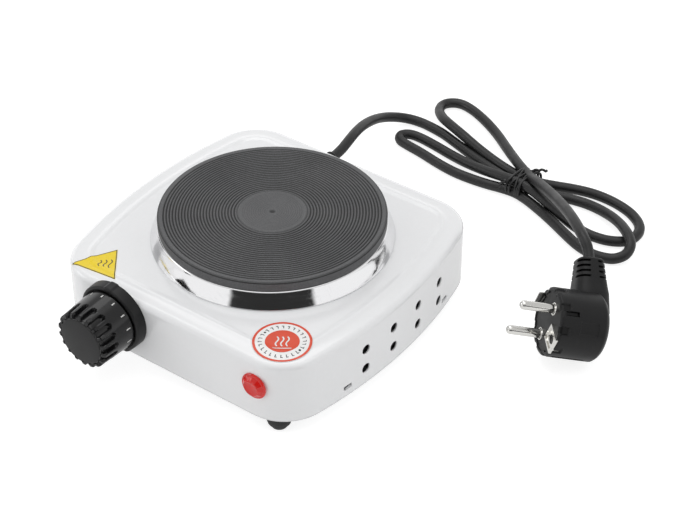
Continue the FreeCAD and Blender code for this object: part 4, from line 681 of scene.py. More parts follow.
# Route of the cord from the sleeve's tip to the plug, in millimetres from the middle of the casing on the floor.
CORD_ROUTE = [
    (-36, 104.3, 22), (-36, 112, 22), (-37.6, 122.5, 23.2), (-41.4, 136.5, 21.6), (-45.2, 151.5, 17.2),
    (-47, 166, 12), (-45.4, 178, 7), (-40, 186, 3.8), (-31.6, 188.4, 3), (-24, 187.8, 3), (-14, 186.2, 3),
    (-8, 184.4, 3), (4, 180.4, 3), (17, 176, 3), (31, 171.6, 3.2), (44, 168.4, 3.6),
    (56, 167.4, 3.8), (66, 169, 3.4), (75.2, 171.6, 3.2), (83, 174, 3), (92.9, 175.6, 3), (104.3, 174.3, 3.4),
    (117, 168, 6), (128.6, 157.9, 9), (135.5, 150.3, 9), (136.4, 144.4, 5.5), (131.5, 139.6, 3),
    (125.3, 137, 3), (118.7, 136.1, 3), (109, 138.1, 3), (97.2, 143.5, 3), (84.7, 149.7, 3), (73, 154.6, 3.1),
    (63, 158, 3.4), (54.5, 159.8, 3.6), (46.1, 159.4, 3.4), (36.2, 157.8, 3), (24.9, 156.6, 3), (13, 156.5, 3),
    (0, 158.6, 3), (-12.1, 161.5, 3), (-21.9, 163, 3), (-30.6, 164.6, 3), (-33.6, 169.6, 3), (-29.6, 174.2, 3),
    (-20.8, 174.4, 3), (-9.2, 172.6, 3), (2.8, 169.8, 3.4), (16, 166.6, 4.6), (30.8, 163.8, 6.8),
    (43, 162.6, 8.8), (54.5, 162.4, 9.8), (65, 160.8, 9.2), (76, 157.9, 7.4), (85.6, 155.8, 5), (95.4, 153.2, 3.3),
    (106.3, 150.6, 3), (116.5, 151.1, 3), (124, 153.9, 3), (129.7, 158.8, 3), (131, 167.6, 3), (127.5, 175.5, 3),
    (119.4, 181.6, 3), (110.5, 184.9, 3), (100.7, 186.5, 3), (90.3, 186.3, 3), (79.4, 183.6, 3), (69.4, 179.4, 3.2),
    (60, 175.8, 3.6), (50, 174.6, 3.8), (39, 176, 3.8), (27, 178.8, 4.4), (14, 181.8, 6),
    (2, 184.6, 8.6), (-10, 188.4, 9.6), (-21, 195.4, 7), (-29.8, 205.2, 4), (-31.4, 214.6, 3), (-24, 220.4, 3),
    (-13.2, 218.5, 3), (-0.8, 213.1, 3), (13.4, 204.6, 3.4), (28.3, 192.3, 5.2), (42, 180.6, 8.2),
    (54.5, 171.4, 10.2),
    (61.5, 166, 12.6), (68.5, 159.4, 17.4), (77, 150.6, 23), (88.5, 139.6, 29.5), (105.5, 123, 38.2),
    (120.1, 108.7, 44.2), (134.2, 95.4, 46),
]
PLUG_TURN, PLUG_TILT, PLUG_ROLL = (math.radians(angle) for angle in (225.2, 16.4, -8.9))
PLUG_EXIT = math.radians(27.0)   # cord's way out, from a side contact towards the upper pin
PLUG_RADIUS, PLUG_DEPTH = 18.0, 28.0
PLUG_FACE = (142.1, 48.2, PLUG_DEPTH * math.sin(PLUG_TILT) + PLUG_RADIUS * math.cos(PLUG_TILT))
NECK_BACK = 23.5                 # cord's line behind the contact face
RELIEF_END = 36.0                # tip of the relief from the plug's axis
LAST_RUN = 5.0                   # straight run into the relief


def plug_place(along, across, up=0.0):
    """Point in the row frame, in metres, from plug coordinates: along the pins, across them, and up the pin pair."""
    turn = Matrix.Rotation(PLUG_TURN, 3, "Z") @ Matrix.Rotation(-PLUG_TILT, 3, "Y")
    turn = turn @ Matrix.Rotation(PLUG_ROLL, 3, "X")
    local = np.stack(np.broadcast_arrays(along, across, up), axis=-1).astype(float)
    placed = local @ np.array(turn).T + np.array(PLUG_FACE)
    return placed * MM + np.array([0.0, CASING_MIDDLE[1], 0.0])


def neck_place(along, away, up=0.0):
    """Same, from coordinates whose second one runs from the plug's axis out along the cord."""
    cos, sin = math.cos(PLUG_EXIT), math.sin(PLUG_EXIT)
    away, up = np.asarray(away), np.asarray(up)
    return plug_place(along, -cos * away + sin * up, sin * away + cos * up)


class HOTPLATE_OT_cord(bpy.types.Operator):
    """Mains cord from the sleeve through its tied loops to the plug"""

    bl_idname = "hot_plate.cord"
    bl_label = "Mains cord"

    def execute(self, context):
        sizes = context.scene.hot_plate_cord
        route = np.array(CORD_ROUTE, float) * MM
        route[:, 1] += CASING_MIDDLE[1]
        tip = neck_place(-NECK_BACK, RELIEF_END)
        before_tip = neck_place(-NECK_BACK, RELIEF_END + LAST_RUN)
        route = np.concatenate([route, before_tip[None], tip[None]])
        curve = bpy.data.curves.new("mains_cord", "CURVE")
        curve.dimensions = "3D"
        curve.bevel_depth = sizes.diameter / 2
        curve.bevel_resolution = 5
        curve.resolution_u = 6
        curve.use_fill_caps = True
        spline = curve.splines.new("NURBS")
        spline.points.add(len(route) - 1)
        spline.points.foreach_set("co", np.c_[route, np.ones(len(route))].ravel())
        spline.order_u = 3
        spline.use_endpoint_u = True
        cord = bpy.data.objects.new("mains_cord", curve)
        context.scene.collection.objects.link(cord)
        curve.materials.append(finishes()["cord_black"])
        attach(cord, "appliance")
        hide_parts("cord_lead", "cord_bundle", "cord_tail")
        return {"FINISHED"}


# ---------------------------------------------------------------- casing


class WallOutline:
    """Plan outline of the casing wall, by arc length s counter-clockwise from the middle of the front.

    A quarter is a straight line, a corner arc and half of a bowed side; the other quarters mirror it.
    """

    def __init__(self, sizes):
        half = (SHELL_HIGH - SHELL_LOW) / 2
        self.corner = sizes.corner
        self.side = (2 * half[1]) ** 2 / (8 * sizes.side_bulge) + sizes.side_bulge / 2
        self.side_x = half[0] - self.side
        self.corner_y = half[1] - self.corner
        self.corner_x = self.side_x + math.sqrt((self.side - self.corner) ** 2 - self.corner_y ** 2)
        self.half_depth = half[1]
        self.turn = math.pi / 2 - math.asin(self.corner_y / (self.side - self.corner))
        self.arc_end = self.corner_x + self.corner * self.turn
        self.quarter = self.arc_end + self.side * (math.pi / 2 - self.turn)
        self.length = 4 * self.quarter

    def at(self, s):
        """Points and outward normals in plan: centre + radius * normal on each arc, a plain run on the front."""
        s = np.mod(s, self.length)
        k = np.floor(s / self.quarter).astype(int)
        part = s - k * self.quarter
        part = np.where(k % 2 == 1, self.quarter - part, part)
        on_arc = (part - self.corner_x) / self.corner
        on_side = self.turn + (part - self.arc_end) / self.side
        angle = np.where(part < self.corner_x, 0.0, np.where(part < self.arc_end, on_arc, on_side))
        nx, ny = np.sin(angle), -np.cos(angle)
        curved = np.where(part < self.arc_end, self.corner_x + self.corner * nx, self.side_x + self.side * nx)
        x = np.where(part < self.corner_x, part, curved)
        y = np.where(
            part < self.corner_x,
            -self.half_depth,
            np.where(part < self.arc_end, -self.corner_y + self.corner * ny, self.side * ny),
        )
        flip_x = np.where((k == 0) | (k == 1), 1.0, -1.0)
        flip_y = np.where((k == 0) | (k == 3), 1.0, -1.0)
        middle_xy = CASING_MIDDLE[:2]
        points = np.stack([flip_x * x + middle_xy[0], flip_y * y + middle_xy[1]], axis=-1)
        return points, np.stack([flip_x * nx, flip_y * ny], axis=-1)

    def side_place(self, y, right):
        """Arc length at a distance y behind the casing's middle on one side wall."""
        run = self.side * math.asin(y / self.side)
        return self.quarter + run if right else 3 * self.quarter - run


def panel_height(inset, sizes):
    """Height of the panel at an inset from the wall: a quarter circle at the edge, and a bell-shaped ridge."""
    edge = np.clip(sizes.edge - inset, 0.0, sizes.edge)
    fall = sizes.edge - np.sqrt(np.maximum(sizes.edge ** 2 - edge ** 2, 0.0))
    ridge = sizes.ridge_height * np.exp(-(((inset - sizes.ridge_inset) / sizes.ridge_width) ** 2))
    slope = 0.5 * sizes.ridge_height * smooth(inset, sizes.ridge_inset, sizes.edge)
    return TOP_Z - fall + ridge - slope


def panel_point(x, y, lift, outline, sizes):
    """Point of a flat label laid on the panel: where it passes the flat it bends down round the edge radius."""
    dense = np.linspace(0, outline.length, 4000, endpoint=False)
    rim, normals = outline.at(dense)
    flat = np.stack([x, y], axis=-1)
    gap = np.linalg.norm(flat[:, None] - rim[None], axis=-1)
    near = gap.argmin(axis=1)
    normal = normals[near]
    inset = -((flat - rim[near]) * normal).sum(axis=1)
    bend = np.clip((sizes.edge - inset) / sizes.edge, 0.0, 1.5)
    bent = sizes.edge * (1 - np.sin(bend))
    moved = np.where(bend > 0, bent, inset)
    plan = flat + normal * (inset - moved)[:, None]
    level = np.where(bend > 0, TOP_Z - sizes.edge * (1 - np.cos(bend)), panel_height(inset, sizes))
    level = level - np.where(bend > 0, 0.5 * sizes.ridge_height, 0.0)
    tilt = np.where(bend > 0, bend, 0.0)
    plan = plan + normal * (lift * np.sin(tilt))[:, None]
    return np.stack([plan[:, 0], plan[:, 1], level + lift * np.cos(tilt)], axis=-1)


# Vents and base tongues in each side wall, from the middle of the casing and above the wall's lower edge.
VENT_PLACES = [3.0 * MM + (number - 1.5) * 22.0 * MM for number in range(4)]
VENT_LEVELS = (9.8 * MM, 22.0 * MM)
TONGUE_PLACES = (-43 * MM, 43 * MM)
TONGUE_LEVEL = 5.6 * MM
TONGUE_HALF = (2.8 * MM, 1.25 * MM)


def wall_windows(outline, sizes):
    """Holes in the wall: (s, height, half width, half height, squareness, half width of the patch round it)."""
    low = SHELL_LOW[2]
    windows = []
    for right in (True, False):
        for y in VENT_PLACES:
            for level in VENT_LEVELS:
                windows.append((outline.side_place(y, right), low + level, sizes.vent, sizes.vent, 1.0, 4.2 * MM))
        for y in TONGUE_PLACES:
            windows.append((outline.side_place(y, right), low + TONGUE_LEVEL, *TONGUE_HALF, 0.3, 4.0 * MM))
    windows.append((KNOB_MIDDLE[0] % outline.length, KNOB_MIDDLE[2], 3.9 * MM, 3.9 * MM, 1.0, 6.5 * MM))
    windows.append((LENS_MIDDLE[0], LENS_MIDDLE[2], 5.7 * MM, 5.7 * MM, 1.0, 8.4 * MM))
    gland = 2 * outline.quarter - GLAND_MIDDLE[0]
    windows.append((gland, GLAND_MIDDLE[2], 6.6 * MM, 6.6 * MM, 1.0, 9.4 * MM))
    return windows


def window_ring(border, window, rings):
    """Points between a square border and a hole's edge: border * (1 - f) + edge * f, for f from 0 to 1.

    The edge is a superellipse: half sizes times the cosine and sine, each raised to the squareness.
    """
    s, z, wide, tall, power = window[:5]
    off = border - np.array([s, z])
    angle = np.arctan2(off[:, 1], off[:, 0])
    cos, sin = np.cos(angle), np.sin(angle)
    edge = np.stack([s + wide * powered(cos, power), z + tall * powered(sin, power)], axis=-1)
    f = np.linspace(0, 1, rings + 1)[1:, None, None] ** 0.8
    return border[None] * (1 - f) + edge[None] * f


def casing_surface(outline, sizes):
    """Pressed shell as one sheet: (arc length, height) on the wall, (arc length, inset) over the edge and panel."""
    columns = 4 * 108
    wall_rows = 25
    s = np.linspace(0, outline.length, columns, endpoint=False)
    wall_top = TOP_Z - sizes.edge
    z = np.linspace(SHELL_LOW[2], wall_top, wall_rows)
    grid = np.stack(np.broadcast_arrays(s[None, :], z[:, None]), axis=-1)
    plane = [grid.reshape(-1, 2)]
    ids = np.arange(columns * wall_rows).reshape(wall_rows, columns)
    quads = grid_quads(ids, wrap_columns=True)
    row, column = np.divmod(np.arange(len(quads)), columns)
    keep = np.ones(len(quads), bool)
    count = columns * wall_rows
    step_s, step_z = outline.length / columns, z[1] - z[0]
    extra = []
    for window in wall_windows(outline, sizes):
        patch = window[5]
        j0 = int(round((window[0] - patch) / step_s))
        j1 = int(round((window[0] + patch) / step_s))
        tall = max(window[3] * 1.45, 2.4 * MM)
        i0 = max(0, int(round((window[1] - tall - z[0]) / step_z)))
        i1 = min(wall_rows - 1, int(round((window[1] + tall - z[0]) / step_z)))
        keep &= ~((row >= i0) & (row < i1) & ((column - j0) % columns < j1 - j0))
        across = np.arange(j0, j1)
        down = np.arange(i0, i1)
        rows = np.concatenate([np.full(len(across), i0), down, np.full(len(across), i1), down[::-1] + 1])
        cols = np.concatenate([across, np.full(len(down), j1), across[::-1] + 1, np.full(len(down), j0)])
        border = np.stack([cols * step_s, z[rows]], axis=-1)
        rings = window_ring(border, window, 4)
        border_ids = rows * columns + cols % columns
        ring_ids = count + np.arange(rings.shape[0] * rings.shape[1]).reshape(rings.shape[:2])
        count += ring_ids.size
        plane.append(rings.reshape(-1, 2))
        extra.append(grid_quads(np.concatenate([border_ids[None], ring_ids]), wrap_columns=True))
    plane = np.concatenate(plane)
    wall_xy = outline.at(plane[:, 0])[0]
    wall = np.c_[wall_xy, plane[:, 1]]

    rim, rim_normal = outline.at(s)
    bend = np.linspace(0, math.pi / 2, 9)[1:]
    insets = np.concatenate([sizes.edge * (1 - np.cos(bend)), np.linspace(sizes.edge, 14.5 * MM, 17)[1:]])
    edge_z = wall_top + sizes.edge * np.sin(bend)
    heights = np.concatenate([edge_z, panel_height(insets[len(bend):], sizes)])
    heights[: len(bend)] -= 0.5 * sizes.ridge_height * np.sin(bend)
    band = rim[None] - insets[:, None, None] * rim_normal[None]
    last = band[-1]
    hole_middle = PLATE_MIDDLE[:2]
    ray = last - hole_middle
    circle = hole_middle + sizes.opening * ray / np.linalg.norm(ray, axis=1)[:, None]
    blend = np.linspace(0, 1, 9)[1:, None, None]
    inner = last[None] * (1 - blend) + circle[None] * blend
    top_xy = np.concatenate([band, inner])
    top_z = np.concatenate([heights, np.full(len(inner), heights[-1])])
    top = np.concatenate([top_xy, np.broadcast_to(top_z[:, None, None], top_xy.shape[:2] + (1,))], axis=-1)
    top_ids = count + np.arange(top.shape[0] * columns).reshape(-1, columns)
    top_quads = grid_quads(np.concatenate([ids[-1:], top_ids]), wrap_columns=True)
    points = np.concatenate([wall, top.reshape(-1, 3)])
    return points, np.concatenate([quads[keep]] + extra + [top_quads])


class HOTPLATE_OT_casing(bpy.types.Operator):
    """Pressed white casing with its vents, slots and panel ridge"""

    bl_idname = "hot_plate.casing"
    bl_label = "Casing"

    def execute(self, context):
        sizes = context.scene.hot_plate_casing
        points, quads = casing_surface(WallOutline(sizes), sizes)
        shell = make_piece("casing_shell", points, quads, "enamel", closed=False, sharp=50.0)
        thicken(shell, sizes.sheet)
        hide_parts("top_shell")
        return {"FINISHED"}


# ---------------------------------------------------------------- plate and ring


def plate_outline(sizes):
    """Half section of the cast plate: turned grooves as raised cosine dips, a raised line round a finer middle."""
    radius = (PLATE_HIGH[0] - PLATE_LOW[0]) / 2
    top = PLATE_HIGH[2]
    rim_z = top - 5.5 * MM
    skirt_z = PLATE_LOW[2]
    face = np.linspace(0.0, radius - sizes.bevel, 420)
    phase = (face - sizes.fine_radius) / sizes.groove_pitch
    coarse = sizes.groove_depth * (0.5 - 0.5 * np.cos(FULL_TURN * phase)) ** 1.5
    coarse *= smooth(face, sizes.fine_radius, sizes.fine_radius + sizes.groove_pitch)
    coarse *= 1 - smooth(face, radius - 2.6 * MM, radius - 2.2 * MM)
    fine = 0.10 * MM * (0.5 - 0.5 * np.cos(FULL_TURN * face / (1.15 * MM)))
    fine *= smooth(face, 2.4 * MM, 3.4 * MM) * (1 - smooth(face, 16.0 * MM, 16.8 * MM))
    line = 0.16 * MM * np.exp(-(((face - sizes.fine_radius) / (0.35 * MM)) ** 2))
    spot = 0.35 * MM * (1 - smooth(face, 0.6 * MM, 2.2 * MM))
    crown = np.stack([face, top - coarse - fine + line - spot], axis=-1)
    skirt, channel, boss, stud = 53.0 * MM, 50.0 * MM, 8.0 * MM, 3.0 * MM
    channel_z = top - 5.0 * MM
    bore_z = skirt_z + 6.0 * MM
    under = rounded(
        [
            (radius, top, sizes.bevel),
            (radius, rim_z, 0.7 * MM),
            (skirt, rim_z, 0.4 * MM),
            (skirt, skirt_z, 0.6 * MM),
            (channel, skirt_z, 0.4 * MM),
            (channel, channel_z, 0.8 * MM),
            (boss, channel_z, 0.8 * MM),
            (boss, skirt_z, 0.5 * MM),
            (stud, skirt_z, 0.3 * MM),
            (stud, bore_z, 0.3 * MM),
            (0.0, bore_z, 0.0),
        ]
    )
    return np.concatenate([crown, under[under[:, 0] > 0], [[0.0, bore_z]]])


class HOTPLATE_OT_plate(bpy.types.Operator):
    """Cast plate with turned grooves, and the polished ring under it"""

    bl_idname = "hot_plate.plate"
    bl_label = "Plate and ring"

    def execute(self, context):
        sizes = context.scene.hot_plate_heater
        centre = (PLATE_MIDDLE[0], PLATE_MIDDLE[1], 0.0)
        outline = plate_outline(sizes)
        turns = 180
        points, quads = turned_surface(outline, centre, (0, 0, 1), turns=turns, loop=False)
        # Painted shade: points in the turned grooves get a shade value from their depth, which darkens the iron's
        # colour there.
        flat = outline[:, 1] > PLATE_HIGH[2] - 0.6 * MM
        groove_shade = np.where(flat, (PLATE_HIGH[2] - outline[:, 1]) / sizes.groove_depth, 0.0)
        groove_shade = np.clip(groove_shade, -0.35, 1.0)
        plate = make_piece("grooved_plate", points, quads, "iron", sharp=60.0, painted_shade=np.repeat(groove_shade, turns))
        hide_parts("hot_plate")

        radius = (PLATE_HIGH[0] - PLATE_LOW[0]) / 2
        rim_z = PLATE_HIGH[2] - 5.5 * MM
        ring_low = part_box("trim_ring")[0][2]
        base, top, sheet = radius + sizes.ring_flare, radius + sizes.ring_lip, sizes.ring_sheet
        collar = 56.0 * MM
        soft = 0.8 * MM
        outline = rounded(
            [
                (base + 0.1 * MM, TOP_Z, 0.3 * MM),
                (base, TOP_Z + 0.6 * MM, 0.4 * MM),
                (base - 0.9 * MM, TOP_Z + 2.6 * MM, 1.4 * MM),
                (top + 0.15 * MM, rim_z - 1.6 * MM, 1.4 * MM),
                (top - 0.5 * MM, rim_z, soft),
                (collar - sheet, rim_z, soft),
                (collar - sheet, ring_low, 0.2 * MM),
                (collar, ring_low, 0.2 * MM),
                (collar, rim_z - sheet, soft),
                (top - sheet - 0.4 * MM, rim_z - sheet, soft),
                (base - sheet, TOP_Z + 0.2 * MM, 0.2 * MM),
                (base - sheet, TOP_Z, 0.1 * MM),
            ],
            steps=7,
        )
        points, quads = turned_surface(outline, centre, (0, 0, 1), turns=220)
        ring = make_piece("polished_ring", points, quads, "polished", sharp=50.0)
        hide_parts("trim_ring")
        return {"FINISHED"}


# ---------------------------------------------------------------- knob, collar and lens

OUTWARD = (0.0, -1.0, 0.0)


def wall_centre(place):
    """Centre on the front wall's face for a piece that stands out of it."""
    return (place[0], FRONT_Y, place[2])


def flute_shape(sizes):
    """Radius less the flutes, each a slot with a round back end, cut inside its half width."""

    def shape(angle, radius, height):
        pitch = FULL_TURN / sizes.flutes
        off = (np.mod(angle + pitch / 2, pitch) - pitch / 2) * radius
        back = np.maximum(sizes.reach - sizes.flute_length + sizes.flute_width - height, 0.0)
        inside = 1 - smooth(np.hypot(off, back), sizes.flute_width - 0.45 * MM, sizes.flute_width)
        outer = radius > sizes.front - 3.4 * MM
        cut = sizes.flute_depth * inside * smooth(radius, sizes.cap, sizes.cap + 1.6 * MM)
        return np.where(outer, radius - cut, radius)

    return shape


class HOTPLATE_OT_knob(bpy.types.Operator):
    """Fluted knob with its cap and dial marks, and the fixed collar behind it"""

    bl_idname = "hot_plate.knob"
    bl_label = "Knob and collar"

    def execute(self, context):
        sizes = context.scene.hot_plate_knob
        centre = wall_centre(KNOB_MIDDLE)
        start = sizes.collar_depth + 0.5 * MM
        shoulder = sizes.reach - 3.2 * MM
        hub = 5.2 * MM
        bore = 3.15 * MM
        hub_back = sizes.reach - 14.2 * MM
        web = sizes.reach - 1.84 * MM
        skin = np.linspace(0, 1, 30)[:, None] * np.array([[sizes.front - sizes.back, shoulder - start]])
        skin = skin + np.array([[sizes.back, start]])
        nose = rounded(
            [
                (sizes.front, shoulder - 0.01 * MM, 0.0),
                (sizes.front - 0.1 * MM, sizes.reach - 1.3 * MM, 1.9 * MM),
                (sizes.cap + 0.25 * MM, sizes.reach - 0.55 * MM, 0.4 * MM),
                (sizes.cap + 0.2 * MM, web, 0.0),
                (bore, web, 0.0),
                (bore, hub_back, 0.0),
                (hub, hub_back, 0.3 * MM),
                (hub, web - 1.8 * MM, 0.6 * MM),
                (12.4 * MM, shoulder - 1.0 * MM, 0.6 * MM),
                (12.6 * MM, start, 0.0),
            ],
            steps=8,
        )
        points, quads = turned_surface(
            np.concatenate([skin, nose]), centre, OUTWARD, turns=16 * sizes.flutes, shape=flute_shape(sizes)
        )
        grip = make_piece("knob_body", points, quads, "knob_black", body="knob", sharp=40.0)
        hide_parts("knob_grip")

        across = np.linspace(0, 1, 26) * (sizes.cap - 0.5 * MM)
        dome = np.stack([across, sizes.reach - 0.7 * MM * (across / sizes.cap) ** 2.2], axis=-1)
        edge = rounded(
            [
                (sizes.cap, sizes.reach - 0.75 * MM, 0.5 * MM),
                (sizes.cap, web, 0.0),
                (0.0, web, 0.0),
            ]
        )
        outline = np.concatenate([dome, edge[edge[:, 0] > 0.0][1:], [[0.0, web]]])
        points, quads = turned_surface(outline, centre, OUTWARD, turns=96, loop=False)
        cap = make_piece("knob_cap_dome", points, quads, "knob_black", body="knob", sharp=50.0)
        repaint(cap, "bezel_black")
        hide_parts("knob_cap")

        self.dial_marks(sizes, centre, start)
        self.collar(sizes, centre)
        return {"FINISHED"}

    def dial_marks(self, sizes, centre, start):
        """Printed marks round the back of the knob: nine ticks that grow with the heat, and a ring for off.

        Each mark is a patch of the cone: centre + height * axis + (radius + lift) * (cos u * side + sin u * up).
        """
        side, up, way = axis_frame(OUTWARD)
        lift = 0.06 * MM

        def on_cone(arc, height):
            """Points at an arc length round the knob and a height along it."""
            share = (height - start) / (sizes.reach - 3.2 * MM - start)
            radius = sizes.back + (sizes.front - sizes.back) * share + lift
            angle = arc / sizes.front
            ring = np.cos(angle)[..., None] * side + np.sin(angle)[..., None] * up
            return np.asarray(centre) + height[..., None] * way + radius[..., None] * ring

        surfaces = []
        ids = np.arange(4).reshape(2, 2)
        number = np.arange(9)
        arcs = sizes.front * np.radians(118.0 - 26.0 * number)
        lengths = (1.6 + 0.28 * number) * MM
        for arc, length in zip(arcs, lengths):
            a = arc + np.array([[-0.3, 0.3], [-0.3, 0.3]]) * MM
            h = start + 1.4 * MM + np.array([[0, 0], [1, 1]]) * length
            surfaces.append((on_cone(a, h), ids))
        turn = np.linspace(0, FULL_TURN, 28, endpoint=False)[None, :]
        ring_radius = np.array([[1.0], [1.45]]) * MM
        arc = sizes.front * math.radians(144.0) + ring_radius * np.cos(turn)
        height = start + 2.9 * MM + ring_radius * np.sin(turn)
        surfaces.append((on_cone(arc, height), np.arange(56).reshape(2, 28)))
        points = np.concatenate([p.reshape(-1, 3) for p, i in surfaces])
        first = np.cumsum([0] + [i.size for p, i in surfaces[:-1]])
        quads = np.concatenate([grid_quads(i + f, wrap_columns=i.shape[1] > 2) for (p, i), f in zip(surfaces, first)])
        marks = make_piece("dial_marks", points, quads, "knob_black", body="knob", closed=False)
        repaint(marks, "dial_white")
        thicken(marks, 0.05 * MM, offset=0.0)

    def collar(self, sizes, centre):
        """Fixed collar: a turned ring with a raised pointer at the top and two moulded lugs."""
        outer, depth = sizes.collar, sizes.collar_depth
        outline = rounded(
            [
                (outer, 0.0, 0.2 * MM),
                (outer - 0.2 * MM, depth - 0.6 * MM, 0.9 * MM),
                (outer - 1.5 * MM, depth, 0.6 * MM),
                (outer - 2.4 * MM, depth - 0.5 * MM, 0.3 * MM),
                (outer - 2.5 * MM, depth - 1.4 * MM, 0.3 * MM),
                (3.9 * MM, depth - 1.4 * MM, 0.2 * MM),
                (3.9 * MM, depth - 2.6 * MM, 0.2 * MM),
                (outer - 2.5 * MM, depth - 2.6 * MM, 0.2 * MM),
                (outer - 2.4 * MM, 0.0, 0.1 * MM),
            ],
            steps=6,
        )

        def lugs(angle, radius, height):
            rim = smooth(radius, outer - 1.6 * MM, outer - 0.6 * MM)
            near = np.zeros_like(radius)
            for where, half in ((math.pi / 2, 0.14), (-1.02, 0.10), (-2.2, 0.10)):
                off = np.abs(np.mod(angle - where + math.pi, FULL_TURN) - math.pi)
                near = np.maximum(near, 1 - smooth(off, half * 0.7, half))
            return radius + 0.55 * MM * near * rim

        points, quads = turned_surface(outline, centre, OUTWARD, turns=180, shape=lugs)
        ring = make_piece("knob_collar", points, quads, "bezel_black", sharp=42.0)
        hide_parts("knob_bezel")


class HOTPLATE_OT_lens(bpy.types.Operator):
    """Red indicator lens with a faceted rim and a plain round middle"""

    bl_idname = "hot_plate.lens"
    bl_label = "Indicator lens"

    def execute(self, context):
        radius, stem, proud = 7.2 * MM, 5.4 * MM, 3.2 * MM
        inside = 11.0 * MM
        facets = 12
        outline = np.array(
            [
                (0.0, proud - 0.35 * MM),
                (0.30 * radius, proud - 0.30 * MM),
                (0.48 * radius, proud - 0.15 * MM),
                (0.53 * radius, proud),
                (0.60 * radius, proud - 0.05 * MM),
                (0.66 * radius, proud - 0.55 * MM),
                (0.90 * radius, 1.25 * MM),
                (0.955 * radius, 1.15 * MM),
                (radius, 0.75 * MM),
                (radius, 0.0),
                (stem, 0.0),
                (stem, -inside),
                (stem - 1.2 * MM, -inside),
                (stem - 1.2 * MM, 0.4 * MM),
                (0.0, 0.4 * MM),
            ]
        )

        def facet(angle, r, height):
            """Twelve flats on the flank: the radius of a regular polygon against its corner."""
            pitch = FULL_TURN / facets
            polygon = math.cos(pitch / 2) / np.cos(np.mod(angle, pitch) - pitch / 2)
            on_flank = smooth(r, 0.6 * radius, 0.66 * radius) * (1 - smooth(r, 0.9 * radius, 0.95 * radius))
            return r * (1 - on_flank * (1 - polygon) * 1.6)

        centre = wall_centre(LENS_MIDDLE)
        points, quads = turned_surface(outline, centre, OUTWARD, turns=96, shape=facet, loop=False)
        lens = make_piece("faceted_lens", points, quads, "lens_red", sharp=22.0)
        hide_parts("indicator_lens")
        return {"FINISHED"}


# ---------------------------------------------------------------- labels

ROUND_LABEL = middle("round_label")
TRIANGLE_CORNERS = np.array([(-68.5, -77.4), (-41.05, -74.5), (-56.25, -55.3)]) * MM


FILM = 0.1 * MM          # thickness of a label
FILM_LIFT = 0.08 * MM    # a label's underside above the panel
PRINT = 0.03 * MM        # thickness of the print
PRINT_LIFT = 0.2 * MM    # the print above the panel
WHITE_LIFT = 0.26 * MM   # white print, which lies on the red


def laid(points_xy, lift, panel):
    """Plan points laid on the panel, which is the wall's outline and the casing's sizes."""
    points_xy = np.asarray(points_xy, float).reshape(-1, 2)
    return panel_point(points_xy[:, 0], points_xy[:, 1], lift, *panel)


def ribbon(path, width, panel, lift=PRINT_LIFT, loop=False):
    """Flat strip along a plan path: path +- half width * (the path's normal), laid on the panel."""
    path = np.asarray(path, float)
    if loop:
        tangent = np.roll(path, -1, axis=0) - np.roll(path, 1, axis=0)
    else:
        tangent = np.gradient(path, axis=0)
    tangent /= np.linalg.norm(tangent, axis=1)[:, None]
    normal = np.stack([-tangent[:, 1], tangent[:, 0]], axis=-1)
    rows = np.stack([path - normal * width / 2, path + normal * width / 2])
    points = laid(rows, lift, panel)
    ids = np.arange(len(points)).reshape(2, -1)
    return points, grid_quads(ids, wrap_columns=loop)


def printed(name, surfaces, slot, finish_name=None, thickness=PRINT):
    """Open sheets as one piece, each turned so that it faces up, with a thickness upwards."""
    first = np.cumsum([0] + [len(points) for points, quads in surfaces[:-1]])
    turned = []
    for (points, quads), start in zip(surfaces, first):
        a, b, c = (points[quads[:, k]] for k in range(3))
        up = np.cross(b - a, c - a)[:, 2].sum() > 0
        turned.append((quads if up else quads[:, ::-1]) + start)
    points = np.concatenate([points for points, quads in surfaces])
    piece = make_piece(name, points, np.concatenate(turned), slot, closed=False)
    if finish_name:
        repaint(piece, finish_name)
    return thicken(piece, thickness, offset=1.0)


def disc(inner, outer, lift, panel):
    """Ring or disc: centre + radius * (cos u, sin u), laid on the panel."""
    rows, columns = 24, 120
    turn = np.linspace(0, FULL_TURN, columns, endpoint=False)[None, :]
    radius = np.linspace(inner, outer, rows)[:, None]
    plan = ROUND_LABEL[:2] + np.stack([radius * np.cos(turn), radius * np.sin(turn)], axis=-1)
    ids = np.arange(rows * columns).reshape(rows, columns)
    if inner == 0:
        ids[0] = ids[0, 0]
    return laid(plan, lift, panel), grid_quads(ids, wrap_columns=True)


